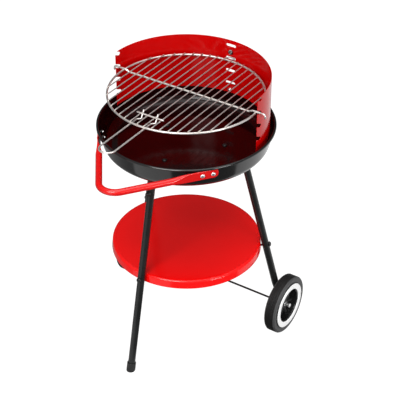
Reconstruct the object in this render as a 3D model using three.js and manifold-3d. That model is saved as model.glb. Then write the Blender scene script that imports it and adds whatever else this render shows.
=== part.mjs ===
// Round charcoal grill on three tube legs: shallow pan bowl, half-round windshield,
// adjustable wire grate with a lifting fork, lower shelf, two wheels.
// Millimetres, +Z up, front of the grill towards -Y, right towards +X, floor at z = 0.
// Origin: on the floor, middle of the footprint. Pieces are modelled round the bowl axis
// and moved back by ORIGIN_SHIFT_Y when placed.
import * as THREE from 'three';
import { mergeVertices } from 'three/addons/utils/BufferGeometryUtils.js';
import Module from 'manifold-3d';

// ---------------------------------------------------------------- dimensions
const ORIGIN_SHIFT_Y = 57.453;      // bowl axis lies this far behind the origin
const GAP = 0.3;                    // clearance between neighbouring parts

const BOWL_RIM_R = 215;             // outer edge of the rolled rim
const BOWL_RIM_Z = 600.6;           // top of the rim
const BOWL_WALL_R = 210;            // wall line carried up to the top of the rim
const BOWL_SLOPE = 0.2;             // wall taper, mm of radius per mm of depth
const WALL_TILT = Math.atan(BOWL_SLOPE);
const BOWL_FLOOR_Z = 538;           // underside of the floor
const BOWL_SHEET = 1.2;
const BOWL_LIP = 5;                 // height of the turned-down lip
const BOWL_CORNER_R = 26;           // floor to wall, outside

const SHIELD_R = 199.2;             // outer radius of the windshield sheet
const SHIELD_SHEET = 1;
const SHIELD_INNER_R = SHIELD_R - SHIELD_SHEET;
const SHIELD_Z0 = 584;
const SHIELD_Z1 = 728.7;
const SHIELD_OVERRUN = 2.3;         // degrees past the half circle at each front edge
const SHIELD_LOW_BOLT_Z = 593.6;
const SHIELD_LOW_BOLT_SEAT_Y = 210.6;
const SHIELD_TOP_BOLT_Z = 697.4;

const SLOT_COUNT = 4;               // height settings
const SLOT_Z0 = 611.4;
const SLOT_PITCH = 34.5;
const SLOT_W = 27;
const SLOT_H = 7;
const NOTCH_W = 9;                  // seats for the cross bar
const NOTCH_TILT = 25 * Math.PI / 180;

const GRATE_SETTING = 2;            // third seat from the bottom
const GRATE_BELOW_SLOT = 0.9;       // ring wire centre below the slot centre
const GRATE_R = 186;
const GRATE_RING_D = 5;
const GRATE_Z = SLOT_Z0 + GRATE_SETTING * SLOT_PITCH - GRATE_BELOW_SLOT;
const GRID_WIRE_D = 3;
const GRID_PITCH = 19.25;
const GRID_WIRES = 18;
const GRID_SINK = 0.5;              // grid wires sunk into the ring
const GRID_Z = GRATE_Z + GRATE_RING_D / 2 + GRID_WIRE_D / 2 - GRID_SINK;
const LOOP_Y = 204.5;               // tip of the rear locating loop
const BAR_Y = 5;
const BAR_D = 5;
const BAR_LIFT = 4.7;               // bar rides over the ring at each end
const BAR_END_X = 212;
const BAR_DROP = 11;

const LIFTER_D = 4;
const LIFTER_X = [-30.4, 8.8];      // fork prongs under the ring
const LIFTER_JOG = 8;
const LIFTER_END_Y = -315;

const TUBE_WALL = 1.2;
const STRIP_T = 2.7;                // thickness of any flattened tube end
const HANDLE_D = 16;
const HANDLE_Z = 582;
const HANDLE_ANGLE = 36.8;          // half angle of the V, degrees
const HANDLE_TANGENT_R = 208.4;     // the V's arms touch this circle
const HANDLE_BEND_R = 38;
const HANDLE_STRIP_W = 26;
// along: distance from the V's corner; nutGap: arm centre to nut
const HANDLE_BOLTS = [
  { end: 'rear', along: 268.6, nutGap: 4.6 },
  { end: 'front', along: 242.6, nutGap: 8 },
];

const LEG_D = 18;
// azimuth in degrees; footR: centreline radius at floor level;
// slope: mm inwards per mm of height; shelfNutDepth: leg centre in to the shelf nut
const REAR_AZIMUTH = 25.8;
const REAR_LEG = { footR: 261.9, slope: 0.241, shelfNutDepth: 19.9 };
const LEGS = {
  front: { azimuth: -90, footR: 256, slope: 0.219, shelfNutDepth: 22.4 },
  rear_right: { azimuth: REAR_AZIMUTH, ...REAR_LEG },
  rear_left: { azimuth: 180 - REAR_AZIMUTH, ...REAR_LEG },
};
const LEG_BOLT_R = 93;              // bolts through the bowl floor
const LEG_TAB_R = 80;               // inner end of the tab
const LEG_TAB_W = 22;
const LEG_TAB_Z = BOWL_FLOOR_Z - GAP - STRIP_T / 2;
const LEG_TAB_BEND_R = 9;
const LEG_SCREW_Z = 480;            // knob screw in the outer wall of the front leg
const LEG_PLATE_X = 215;            // flattened foot of each rear leg
const LEG_PLATE_W = 28;
const CAP_D = 22.4;
const CAP_H = 23;

const SHELF_TOP_Z = 262.5;
const SHELF_SHEET = 1;
const SHELF_BOLT_Z = SHELF_TOP_Z - 9;

const WHEEL_D = 155;
const WHEEL_W = 31;
const WHEEL_INNER_X = 219;
const WHEEL_OUTER_X = WHEEL_INNER_X + WHEEL_W;
const AXLE_D = 5;
const AXLE_Y = 100;
const AXLE_Z = WHEEL_D / 2;
const AXLE_END_X = WHEEL_OUTER_X + 3;
const AXLE_BORE_R = AXLE_D / 2 + GAP;

const BOLT_R = 3;
const BORE_R = BOLT_R + GAP;
const NUT_AF = 10;
const NUT_T = 5;

// ---------------------------------------------------------------- materials
const standard = (options) => new THREE.MeshStandardMaterial(options);
const blackEnamel = () => standard({ color: 0x0d0c0d, roughness: 0.18, metalness: 0 });
const redPaint = () => standard({ color: 0xc40a10, roughness: 0.3, metalness: 0 });
const blackPaint = () => standard({ color: 0x1b1c1d, roughness: 0.4, metalness: 0 });
const chrome = () => standard({ color: 0xc9cbcc, roughness: 0.2, metalness: 1 });
const zinc = () => standard({ color: 0xb8babc, roughness: 0.35, metalness: 1 });
const blackHardware = () => standard({ color: 0x1c1c1d, roughness: 0.35, metalness: 0 });
const blackCap = () => standard({ color: 0x161616, roughness: 0.5, metalness: 0 });
const tyreRubber = () => standard({ color: 0x232222, roughness: 0.75, metalness: 0 });
const hubPlastic = () => standard({ color: 0x101011, roughness: 0.6, metalness: 0 });
const whitePlastic = () => standard({ color: 0xf4f4f4, roughness: 0.45, metalness: 0 });

// ---------------------------------------------------------------- points and directions
const RAD = Math.PI / 180;
const QUARTER = Math.PI / 2;
const vec = (x, y, z) => new THREE.Vector3(x, y, z);
const RIGHT = vec(1, 0, 0);
const BACK = vec(0, 1, 0);
const FORWARD = vec(0, -1, 0);
const UP = vec(0, 0, 1);
const SIDES = { right: 1, left: -1 };

// point at a distance from p along a direction
const offset = (p, dir, distance) => p.clone().addScaledVector(dir, distance);

const polar = (r, degrees, z) => vec(r * Math.cos(degrees * RAD), r * Math.sin(degrees * RAD), z);

const smooth = (x) => {
  const t = Math.min(Math.max(x, 0), 1);
  return t * t * (3 - 2 * t);
};

// flat arc, angles in radians, both ends included
const arc = ([x, y], r, from, to, steps) => Array.from({ length: steps + 1 }, (_, k) => {
  const angle = from + (to - from) * k / steps;
  return [x + r * Math.cos(angle), y + r * Math.sin(angle)];
});

const polygon = (r, n) => Array.from({ length: n }, (_, k) =>
  [r * Math.cos(2 * Math.PI * k / n), r * Math.sin(2 * Math.PI * k / n)]);

// Arc rounding a corner between directions back and ahead: its centre, the spokes from
// the centre to the arc points, and how far from the corner it starts and ends.
function fillet(corner, back, ahead, radius, steps) {
  const half = Math.acos(back.dot(ahead)) / 2;
  const setback = radius / Math.tan(half);
  const bisector = back.clone().add(ahead).normalize();
  const centre = offset(corner, bisector, radius / Math.sin(half));
  const first = offset(corner, back, setback).sub(centre);
  const last = offset(corner, ahead, setback).sub(centre);
  const sweep = first.angleTo(last);
  const spokes = Array.from({ length: steps + 1 }, (_, k) => {
    const t = k / steps;
    return first.clone().multiplyScalar(Math.sin((1 - t) * sweep) / Math.sin(sweep))
      .addScaledVector(last, Math.sin(t * sweep) / Math.sin(sweep));
  });
  return { centre, spokes, setback };
}

// centreline through points, with one bend radius for each inner point
function bent(points, radii, steps) {
  const path = [points[0]];
  radii.forEach((radius, i) => {
    const corner = points[i + 1];
    const back = points[i].clone().sub(corner).normalize();
    const ahead = points[i + 2].clone().sub(corner).normalize();
    const { centre, spokes } = fillet(corner, back, ahead, radius, steps);
    for (const spoke of spokes) path.push(centre.clone().add(spoke));
  });
  path.push(points.at(-1));
  return path;
}

// ---------------------------------------------------------------- meshes and solids
const wasm = await Module();
wasm.setup();

function meshFrom(positions, indices) {
  const geo = new THREE.BufferGeometry();
  geo.setAttribute('position', new THREE.BufferAttribute(new Float32Array(positions), 3));
  geo.setIndex(indices);
  return geo;
}

// weld vertices, drop collapsed triangles and turn the faces outwards
function clean(source) {
  source.deleteAttribute('normal');
  source.deleteAttribute('uv');
  const geo = mergeVertices(source, 1e-4);
  const index = geo.index.array;
  const kept = [];
  for (let i = 0; i < index.length; i += 3) {
    const [a, b, c] = [index[i], index[i + 1], index[i + 2]];
    if (a !== b && b !== c && a !== c) kept.push(a, b, c);
  }
  const position = geo.attributes.position;
  const corner = (i) => vec(0, 0, 0).fromBufferAttribute(position, kept[i]);
  let volume = 0;
  for (let i = 0; i < kept.length; i += 3) {
    volume += corner(i).dot(corner(i + 1).cross(corner(i + 2)));
  }
  if (volume < 0) {
    for (let i = 0; i < kept.length; i += 3) {
      [kept[i + 1], kept[i + 2]] = [kept[i + 2], kept[i + 1]];
    }
  }
  geo.setIndex(kept);
  return geo;
}

function toSolid(source) {
  const geo = clean(source.clone());
  return new wasm.Manifold(new wasm.Mesh({
    numProp: 3,
    vertProperties: new Float32Array(geo.attributes.position.array),
    triVerts: new Uint32Array(geo.index.array),
  }));
}

function fromSolid(solid) {
  const mesh = solid.getMesh();
  const positions = [];
  for (let i = 0; i < mesh.numVert; i++) {
    for (let k = 0; k < 3; k++) positions.push(mesh.vertProperties[i * mesh.numProp + k]);
  }
  return meshFrom(positions, Array.from(mesh.triVerts));
}

const join = (...parts) => fromSolid(parts.map(toSolid).reduce((a, b) => a.add(b)));
const cut = (geo, ...tools) =>
  fromSolid(tools.map(toSolid).reduce((a, b) => a.subtract(b), toSolid(geo)));
const clip = (geo, tool) => fromSolid(toSolid(geo).intersect(toSolid(tool)));

// skin a row of equal-length rings; closed rows wrap round, open rows get end faces
function loft(rings, closed = false) {
  const n = rings[0].length;
  const rows = rings.length;
  const positions = rings.flat().flatMap((p) => [p.x, p.y, p.z]);
  const indices = [];
  for (let i = 0; i < (closed ? rows : rows - 1); i++) {
    const j = (i + 1) % rows;
    for (let k = 0; k < n; k++) {
      const l = (k + 1) % n;
      indices.push(i * n + k, i * n + l, j * n + l, i * n + k, j * n + l, j * n + k);
    }
  }
  if (!closed) {
    for (const [row, flip] of [[0, true], [rows - 1, false]]) {
      const centre = vec(0, 0, 0);
      rings[row].forEach((p) => centre.add(p));
      centre.divideScalar(n);
      const hub = positions.length / 3;
      positions.push(centre.x, centre.y, centre.z);
      for (let k = 0; k < n; k++) {
        const a = row * n + k;
        const b = row * n + ((k + 1) % n);
        indices.push(hub, ...(flip ? [b, a] : [a, b]));
      }
    }
  }
  return clean(meshFrom(positions, indices));
}

// round wire along a centreline
function wire(path, r, n) {
  const tangents = path.map((p, i) => {
    const arriving = p.clone().sub(path[Math.max(i - 1, 0)]).normalize();
    const leaving = path[Math.min(i + 1, path.length - 1)].clone().sub(p).normalize();
    return arriving.add(leaving).normalize();
  });
  let u = Math.abs(tangents[0].z) < 0.9 ? UP : BACK;
  return loft(path.map((p, i) => {
    u = offset(u, tangents[i], -u.dot(tangents[i])).normalize();
    const v = tangents[i].clone().cross(u);
    return polygon(r, n).map(([a, b]) => offset(p, u, a).addScaledVector(v, b));
  }));
}

const rod = (a, b, r, n) => wire([a, b], r, n);

// cutter for a bolt hole, reaching between two distances from p along dir
const bore = (p, dir, from, to) => rod(offset(p, dir, from), offset(p, dir, to), BORE_R, 10);

// closed section of [radius, height] turned about the Z axis
const turned = (section, n, phase = 0) => loft(Array.from({ length: n }, (_, k) => {
  const angle = phase + (2 * Math.PI * k) / n;
  return section.map(([r, z]) => vec(r * Math.cos(angle), r * Math.sin(angle), z));
}), true);

// section of [radius, height] that touches the Z axis at both ends
function turnedSolid(section, n) {
  const geo = new THREE.LatheGeometry(section.map(([r, z]) => new THREE.Vector2(r, z)), n);
  return clean(geo.rotateX(QUARTER));
}

function extruded(outline, depth, holes = []) {
  const flat = (points) => points.map(([x, y]) => new THREE.Vector2(x, y));
  const shape = new THREE.Shape(flat(outline));
  for (const hole of holes) shape.holes.push(new THREE.Path(flat(hole)));
  return clean(new THREE.ExtrudeGeometry(shape, { depth, bevelEnabled: false }));
}

// lay a piece's own x, y and z along three given axes, its origin at p
const inFrame = (geo, p, xAxis, yAxis, zAxis) => geo.applyMatrix4(
  new THREE.Matrix4().makeBasis(xAxis, yAxis, zAxis).setPosition(p));

// move a piece built round +Z so that its axis lies on dir, base at p
function aim(geo, p, dir) {
  const turn = new THREE.Quaternion().setFromUnitVectors(UP, dir.clone().normalize());
  return clean(geo.clone().applyQuaternion(turn).translate(p.x, p.y, p.z));
}

// ---- fasteners, built round +Z
// dome-headed bolt, head seat at z = 0, head above, shank below
const domeBolt = ({ shank, headR, headH }) => turnedSolid([
  [0, -shank], [BOLT_R, -shank], [BOLT_R, 0], [headR, 0], [headR * 0.94, headH * 0.42],
  [headR * 0.62, headH * 0.85], [0, headH]], 10);

const hexNut = (thickness = NUT_T, boreR = BORE_R) =>
  extruded(polygon(NUT_AF / Math.sqrt(3), 6), thickness, [polygon(boreR, 10)]);

const sleeve = (innerR, outerR, height, n) =>
  turned([[innerR, 0], [outerR, 0], [outerR, height], [innerR, height]], n);

// ---- tubes with pressed ends
// A station is { point, wide, thick, press, flatW }: wide and thick are the directions of
// the section's width and thickness, press runs from 0 (round) to 1 (flat, flatW wide).
function tubeRing({ point, wide, thick, press, flatW }, diameter, inset, n) {
  const width = diameter + (flatW - diameter) * press - 2 * inset;
  const thickness = diameter + (STRIP_T - diameter) * press - 2 * inset;
  const r = thickness / 2;
  const half = n / 2;
  const ring = [];
  for (const side of [1, -1]) {
    for (let k = 0; k < half; k++) {
      const angle = -side * QUARTER + Math.PI * (k + 0.5) / half;
      ring.push(offset(point, wide, side * (width - thickness) / 2 + r * Math.cos(angle))
        .addScaledVector(thick, r * Math.sin(angle)));
    }
  }
  return ring;
}

// outer and inner surfaces joined at the open ends
function hollowTube(stations, diameter, n) {
  const outer = stations.map((station) => tubeRing(station, diameter, 0, n));
  const inner = stations.map((station) => tubeRing(station, diameter, TUBE_WALL, n));
  return loft([...outer, ...inner.reverse()], true);
}

// ---------------------------------------------------------------- assembly
const group = new THREE.Group();
group.name = 'charcoal_grill';

function place(name, geo, material) {
  const mesh = new THREE.Mesh(clean(geo.clone().translate(0, ORIGIN_SHIFT_Y, 0)), material);
  mesh.name = name;
  group.add(mesh);
}

// ---- straight arms of the handle, square to the bowl wall where they are bolted
const HANDLE_CORNER = vec(0, -HANDLE_TANGENT_R / Math.sin(HANDLE_ANGLE * RAD), HANDLE_Z);

function handleArm(sign) {
  const sin = Math.sin(HANDLE_ANGLE * RAD);
  const cos = Math.cos(HANDLE_ANGLE * RAD);
  const dir = vec(sign * sin, cos, 0);
  const tilted = (tilt) => vec(sign * cos, -sin, 0).multiplyScalar(Math.cos(tilt))
    .addScaledVector(UP, -Math.sin(tilt));     // outward normal, turned downwards
  const at = (along) => offset(HANDLE_CORNER, dir, along);
  return { sign, dir, tilted, normal: tilted(WALL_TILT), at };
}
const ARMS = { right: handleArm(SIDES.right), left: handleArm(SIDES.left) };

const handleBolts = Object.entries(ARMS).flatMap(([side, arm]) =>
  HANDLE_BOLTS.map(({ end, along, nutGap }) =>
    ({ tag: `${side}_${end}`, point: arm.at(along), normal: arm.normal, nutGap })));

// ---- bowl: pressed pan with a rolled rim
const wallR = (z) => BOWL_WALL_R - BOWL_SLOPE * (BOWL_RIM_Z - z);

function bowlSection() {
  const sheet = BOWL_SHEET;
  const rimR = BOWL_RIM_R;
  const rimZ = BOWL_RIM_Z;
  const cornerZ = BOWL_FLOOR_Z + BOWL_CORNER_R;
  const corner = [wallR(cornerZ) - BOWL_CORNER_R / Math.cos(WALL_TILT), cornerZ];
  return [
    // outside, from the floor up and out under the rim
    [0, BOWL_FLOOR_Z],
    ...arc(corner, BOWL_CORNER_R, -QUARTER, -WALL_TILT, 4),
    [wallR(rimZ - sheet), rimZ - sheet],
    [rimR - sheet - 1.2, rimZ - sheet],
    [rimR - sheet, rimZ - sheet - 1.2],
    [rimR - sheet, rimZ - BOWL_LIP],
    // back over the rim and down the inside
    [rimR, rimZ - BOWL_LIP],
    [rimR, rimZ - 2.2],
    [rimR - 0.7, rimZ - 0.7],
    [rimR - 2.2, rimZ],
    [wallR(rimZ) - sheet + 1, rimZ],
    [wallR(rimZ - 3) - sheet, rimZ - 3],
    ...arc(corner, BOWL_CORNER_R - sheet, -WALL_TILT, -QUARTER, 4),
    [0, BOWL_FLOOR_Z + sheet],
  ];
}

function buildBowl() {
  let bowl = turnedSolid(bowlSection(), 60);
  for (const { point, normal } of handleBolts) bowl = cut(bowl, bore(point, normal, -14, 2));
  for (const { azimuth } of Object.values(LEGS)) {
    bowl = cut(bowl, bore(polar(LEG_BOLT_R, azimuth, BOWL_FLOOR_Z), UP, -4, 5));
  }
  bowl = cut(bowl, bore(vec(0, 0, SHIELD_LOW_BOLT_Z), BACK, 195, 212));
  place('bowl', bowl, blackEnamel());
}

// ---- windshield: half-round sheet with height seats each side and slots at the back
function shieldSheet() {
  const steps = 54;
  const span = 180 + 2 * SHIELD_OVERRUN;
  return loft(Array.from({ length: steps + 1 }, (_, k) => {
    const azimuth = -SHIELD_OVERRUN + span * k / steps;
    return [
      polar(SHIELD_INNER_R, azimuth, SHIELD_Z0),
      polar(SHIELD_R, azimuth, SHIELD_Z0),
      polar(SHIELD_R, azimuth, SHIELD_Z1),
      polar(SHIELD_INNER_R, azimuth, SHIELD_Z1),
    ];
  }));
}

function slotCutter(z) {
  const r = SLOT_H / 2;
  const endX = SLOT_W / 2 - r;
  const outline = [
    ...arc([endX, 0], r, -QUARTER, QUARTER, 4),
    ...arc([-endX, 0], r, QUARTER, 3 * QUARTER, 4),
  ];
  return inFrame(extruded(outline, 20), vec(0, 190, z), RIGHT, UP, BACK);
}

// round-ended notch running up and out through the front edge, cut from x to x + depth
function notchCutter(slotZ, x) {
  const half = NOTCH_W / 2;
  const sin = Math.sin(-NOTCH_TILT);
  const cos = Math.cos(-NOTCH_TILT);
  const outline = [...arc([0, 0], half, -QUARTER, QUARTER, 6), [-60, half], [-60, -half]]
    .map(([a, b]) => [a * cos - b * sin, a * sin + b * cos]);
  // notch centre sits above the bar, so that the bar rests on the lower side
  const rise = half - BAR_D / 2 - GAP;
  const barZ = slotZ - GRATE_BELOW_SLOT + BAR_LIFT;
  const y = BAR_Y + rise * Math.sin(NOTCH_TILT);
  const z = barZ + rise * Math.cos(NOTCH_TILT);
  return inFrame(extruded(outline, 30), vec(x, y, z), BACK, UP, RIGHT);
}

function buildWindshield() {
  let shield = shieldSheet();
  for (let i = 0; i < SLOT_COUNT; i++) {
    const z = SLOT_Z0 + i * SLOT_PITCH;
    shield = cut(shield, slotCutter(z));
    shield = cut(shield, notchCutter(z, 185), notchCutter(z, -215));
  }
  const bores = [SHIELD_LOW_BOLT_Z, SHIELD_TOP_BOLT_Z]
    .map((z) => bore(vec(0, 0, z), BACK, 190, 205));
  place('windshield', cut(shield, ...bores), redPaint());
}

// ---- cooking grate: one welded wire piece
function gridWires() {
  const r = GRID_WIRE_D / 2;
  const wires = [];
  for (let k = 0; k < GRID_WIRES; k++) {
    const x = (k - (GRID_WIRES - 1) / 2) * GRID_PITCH;
    if (Math.abs(x) < GRID_PITCH) continue;     // the middle pair is the looped wire
    const y = Math.sqrt(GRATE_R * GRATE_R - x * x) + 0.6;
    wires.push(rod(vec(x, -y, GRID_Z), vec(x, y, GRID_Z), r, 6));
  }
  return wires;
}

// the two middle grid wires are one wire looped at the back
function loopWire() {
  const r = GRID_WIRE_D / 2;
  const x = GRID_PITCH / 2;
  const tipZ = GRATE_Z - 0.6;
  const half = [                                // y, z from the front end to the tip
    [-GRATE_R - 0.4, GRID_Z], [GRATE_R + 2, GRID_Z], [196.5, tipZ], [LOOP_Y - r, tipZ]];
  const points = [
    ...half.map(([y, z]) => vec(-x, y, z)),
    ...half.toReversed().map(([y, z]) => vec(x, y, z)),
  ];
  return wire(bent(points, [6, 6, 4.5, 4.5, 6, 6], 3), r, 6);
}

// cross bar under the grid wires, over the ring, down outside the windshield
function crossBar() {
  const overZ = GRATE_Z + BAR_LIFT;
  const half = [                                // x, z from the end inwards
    [BAR_END_X, overZ - BAR_DROP], [BAR_END_X, overZ], [178, overZ], [169, GRATE_Z]];
  const points = [
    ...half.map(([x, z]) => vec(-x, BAR_Y, z)),
    ...half.toReversed().map(([x, z]) => vec(x, BAR_Y, z)),
  ];
  return wire(bent(points, [5, 8, 8, 8, 8, 5], 3), BAR_D / 2, 8);
}

function buildGrate() {
  const section = polygon(GRATE_RING_D / 2, 8).map(([a, b]) => [GRATE_R + a, GRATE_Z + b]);
  const ring = turned(section, 64, Math.PI / 64);
  place('cooking_grate', join(ring, ...gridWires(), loopWire(), crossBar()), chrome());
}

// ---- lifting fork hooked under the ring and over the grid wires
function buildLifter() {
  const r = LIFTER_D / 2;
  const lowZ = GRATE_Z - GRATE_RING_D / 2 - r - GAP;
  const topZ = GRATE_Z + 14;
  const riseY = -151;                           // foot of the rising prong ends
  const topY = -139;
  const prong = (x) => [
    vec(x + LIFTER_JOG, topY, topZ), vec(x + LIFTER_JOG, riseY, lowZ),
    vec(x, -158, lowZ), vec(x, LIFTER_END_Y + r, lowZ)];
  const [leftX, rightX] = LIFTER_X;
  const points = [...prong(leftX), ...prong(rightX).reverse()];
  const fork = wire(bent(points, [3, 3, 18.5, 18.5, 3, 3], 5), r, 8);
  // cross wire on top of the grid wires, against the front of the prongs
  const crossZ = GRID_Z + GRID_WIRE_D / 2 + r + GAP;
  const prongY = riseY + (topY - riseY) * (crossZ - lowZ) / (topZ - lowZ);
  const crossY = prongY - 3.9;
  const cross = rod(vec(-37, crossY, crossZ), vec(37, crossY, crossZ), r, 8);
  place('grate_lifter', join(fork, cross), chrome());
}

// ---- bowl handle: bent tube with pressed ends
const HANDLE_END = 281;                         // distances along the arm from the V's corner
const HANDLE_PRESS = { from: 168, to: 216 };    // round before, flat after
const HANDLE_STATIONS = [HANDLE_PRESS.from, 180, 192, 204, HANDLE_PRESS.to, HANDLE_END];

function armStation({ sign, dir, tilted, at }, along) {
  const { from, to } = HANDLE_PRESS;
  const press = smooth((along - from) / (to - from));
  const thick = tilted(WALL_TILT * press);
  const wide = thick.clone().cross(dir).multiplyScalar(sign).normalize();
  return { point: at(along), wide, thick, press, flatW: HANDLE_STRIP_W };
}

// from the left arm to the right arm
function handleBend() {
  const steps = 7;
  const sweep = 90 - HANDLE_ANGLE;
  const centre = offset(HANDLE_CORNER, BACK, HANDLE_BEND_R / Math.sin(HANDLE_ANGLE * RAD));
  return Array.from({ length: steps + 1 }, (_, k) => {
    const thick = polar(1, -90 - sweep + 2 * sweep * k / steps, 0);
    const point = offset(centre, thick, HANDLE_BEND_R);
    return { point, wide: UP, thick, press: 0, flatW: HANDLE_STRIP_W };
  });
}

// cutter rounding one corner of a pressed end: a square less a quarter disc
function endCornerCutter(arm, edge) {
  const r = 10;
  const outline = [
    [-2, -2], [r, -2], ...arc([r, r], r, -QUARTER, -2 * QUARTER, 4), [-2, r]];
  const across = arm.normal.clone().cross(arm.dir).normalize();
  const origin = offset(arm.at(HANDLE_END), across, edge * HANDLE_STRIP_W / 2)
    .addScaledVector(arm.normal, -5);
  return inFrame(extruded(outline, 10), origin,
    arm.dir.clone().negate(), across.multiplyScalar(-edge), arm.normal);
}

function buildHandle() {
  let handle = hollowTube([
    ...HANDLE_STATIONS.toReversed().map((along) => armStation(ARMS.left, along)),
    ...handleBend(),
    ...HANDLE_STATIONS.map((along) => armStation(ARMS.right, along)),
  ], HANDLE_D, 16);
  for (const { point, normal } of handleBolts) handle = cut(handle, bore(point, normal, -6, 6));
  for (const arm of Object.values(ARMS)) {
    for (const edge of [1, -1]) handle = cut(handle, endCornerCutter(arm, edge));
  }
  place('bowl_handle', handle, redPaint());
}

function buildHandleFasteners() {
  for (const { tag, point, normal, nutGap } of handleBolts) {
    const shank = STRIP_T / 2 + nutGap + NUT_T + 2.2;
    const bolt = domeBolt({ shank, headR: 5.6, headH: 3.4 });
    const seat = offset(point, normal, STRIP_T / 2 + GAP);
    const nutBase = offset(point, normal, -nutGap - NUT_T);
    place(`handle_bolt_${tag}`, aim(bolt, seat, normal), zinc());
    place(`handle_nut_${tag}`, aim(hexNut(), nutBase, normal), blackHardware());
  }
}

// ---- windshield fasteners: lower bolt from outside, upper bolt from inside
function buildShieldFasteners() {
  const nutGap = 0.35;
  const put = (name, geo, y, z, dir) =>
    place(`shield_${name}`, aim(geo, vec(0, y, z), dir), zinc());
  const lower = domeBolt({ shank: 20, headR: 4.8, headH: 2.6 });
  const upper = domeBolt({ shank: 8.8, headR: 6.6, headH: 3.8 });
  put('bolt_lower', lower, SHIELD_LOW_BOLT_SEAT_Y, SHIELD_LOW_BOLT_Z, BACK);
  put('nut_lower', hexNut(), SHIELD_INNER_R - nutGap - NUT_T, SHIELD_LOW_BOLT_Z, BACK);
  put('bolt_upper', upper, SHIELD_INNER_R - 0.4, SHIELD_TOP_BOLT_Z, FORWARD);
  put('nut_upper', hexNut(), SHIELD_R + nutGap, SHIELD_TOP_BOLT_Z, BACK);
}

// ---- legs
// centreline and directions of a leg; axis points up the leg, outward squarely off it
function legLine({ azimuth, footR, slope }) {
  const radial = polar(1, azimuth, 0);
  const at = (z) => radial.clone().multiplyScalar(footR - slope * z).addScaledVector(UP, z);
  return {
    radial,
    at,
    tangent: vec(-radial.y, radial.x, 0),
    axis: offset(UP, radial, -slope).normalize(),
    outward: offset(radial, UP, slope).normalize(),
    shelfBolt: at(SHELF_BOLT_Z),
  };
}
const legLines = Object.fromEntries(
  Object.entries(LEGS).map(([name, size]) => [name, legLine(size)]));

// pressed tab under the bowl floor, from its inner end outwards, then down the leg
function tabStations({ radial, at, tangent, axis, outward }) {
  const station = (point, thick, press) =>
    ({ point, wide: tangent, thick, press, flatW: LEG_TAB_W });
  const corner = at(LEG_TAB_Z);
  const inwards = radial.clone().negate();
  const down = axis.clone().negate();
  const { centre, spokes, setback } = fillet(corner, inwards, down, LEG_TAB_BEND_R, 3);
  const easing = [                              // distance below the bend, press
    [6, 1], [17, 0.86], [27, 0.5], [36, 0.15], [44, 0]];
  return [
    station(offset(vec(0, 0, LEG_TAB_Z), radial, LEG_TAB_R), UP, 1),
    ...spokes.map((spoke) => station(centre.clone().add(spoke), spoke.clone().normalize(), 1)),
    ...easing.map(([below, press]) =>
      station(offset(corner, down, setback + below), outward, press)),
  ];
}

// rear foot: pressed flat between two heights and set upright against the wheel
function plateStations({ radial, at, tangent, outward }, slope, before) {
  const pressTopZ = 136;
  const pressEndZ = 101;
  const side = Math.sign(radial.x);
  const stations = [pressTopZ, 127, 118, 109, pressEndZ, AXLE_Z, 63].map((z) => {
    const press = smooth((pressTopZ - z) / (pressTopZ - pressEndZ));
    const plateY = AXLE_Y - slope * radial.y * (z - AXLE_Z);
    const point = at(z).lerp(vec(side * LEG_PLATE_X, plateY, z), press);
    const thick = outward.clone().lerp(vec(side, 0, 0), press).normalize();
    return { point, thick, press, flatW: LEG_PLATE_W };
  });
  // width axis across path and thickness
  stations.forEach((station, i) => {
    const previous = stations[i - 1] ?? before;
    const next = stations[i + 1] ?? station;
    const path = next.point.clone().sub(previous.point).normalize();
    station.wide = path.cross(station.thick).normalize();
    if (station.wide.dot(tangent) < 0) station.wide.negate();
  });
  return stations;
}

function legTube(name) {
  const { azimuth, slope } = LEGS[name];
  const line = legLines[name];
  const isFront = name === 'front';
  const tab = tabStations(line);
  const foot = isFront
    ? [{ ...tab.at(-1), point: line.at(5.6) }]
    : plateStations(line, slope, tab.at(-1));
  let tube = hollowTube([...tab, ...foot], LEG_D, 12);
  tube = cut(tube, bore(polar(LEG_BOLT_R, azimuth, LEG_TAB_Z), UP, -5, 5));
  tube = cut(tube, bore(line.shelfBolt, line.outward, -16, 16));
  if (isFront) return cut(tube, bore(line.at(LEG_SCREW_Z), line.outward, 0, 16));
  const side = Math.sign(line.radial.x);
  const axlePoint = (x) => vec(side * x, AXLE_Y, AXLE_Z);
  return cut(tube, rod(axlePoint(205), axlePoint(225), AXLE_BORE_R, 16));
}

function buildLeg(name) {
  const { azimuth, shelfNutDepth } = LEGS[name];
  const { at, outward, shelfBolt } = legLines[name];
  place(`leg_${name}`, legTube(name), blackPaint());

  // bolt down through the bowl floor and the tab
  const bolt = domeBolt({ shank: 14, headR: 6.4, headH: 3.6 });
  const boltSeat = polar(LEG_BOLT_R, azimuth, BOWL_FLOOR_Z + BOWL_SHEET + GAP);
  const nutBase = polar(LEG_BOLT_R, azimuth, LEG_TAB_Z - STRIP_T / 2 - GAP - NUT_T);
  place(`leg_bolt_${name}`, aim(bolt, boltSeat, UP), blackHardware());
  place(`leg_nut_${name}`, aim(hexNut(), nutBase, UP), blackHardware());

  const headSeat = LEG_D / 2 + GAP;
  if (name === 'front') {
    const knob = domeBolt({ shank: 16, headR: 6.8, headH: 11.5 });
    const seat = offset(at(LEG_SCREW_Z), outward, headSeat);
    place('leg_screw_front', aim(knob, seat, outward), blackCap());
  }

  // shelf screw through leg and flange
  const screw = domeBolt({ shank: 34.5, headR: 6.6, headH: 4.6 });
  const screwSeat = offset(shelfBolt, outward, headSeat);
  const shelfNutBase = offset(shelfBolt, outward, -shelfNutDepth);
  place(`shelf_bolt_${name}`, aim(screw, screwSeat, outward), blackCap());
  place(`shelf_nut_${name}`, aim(hexNut(), shelfNutBase, outward), zinc());
}

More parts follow.
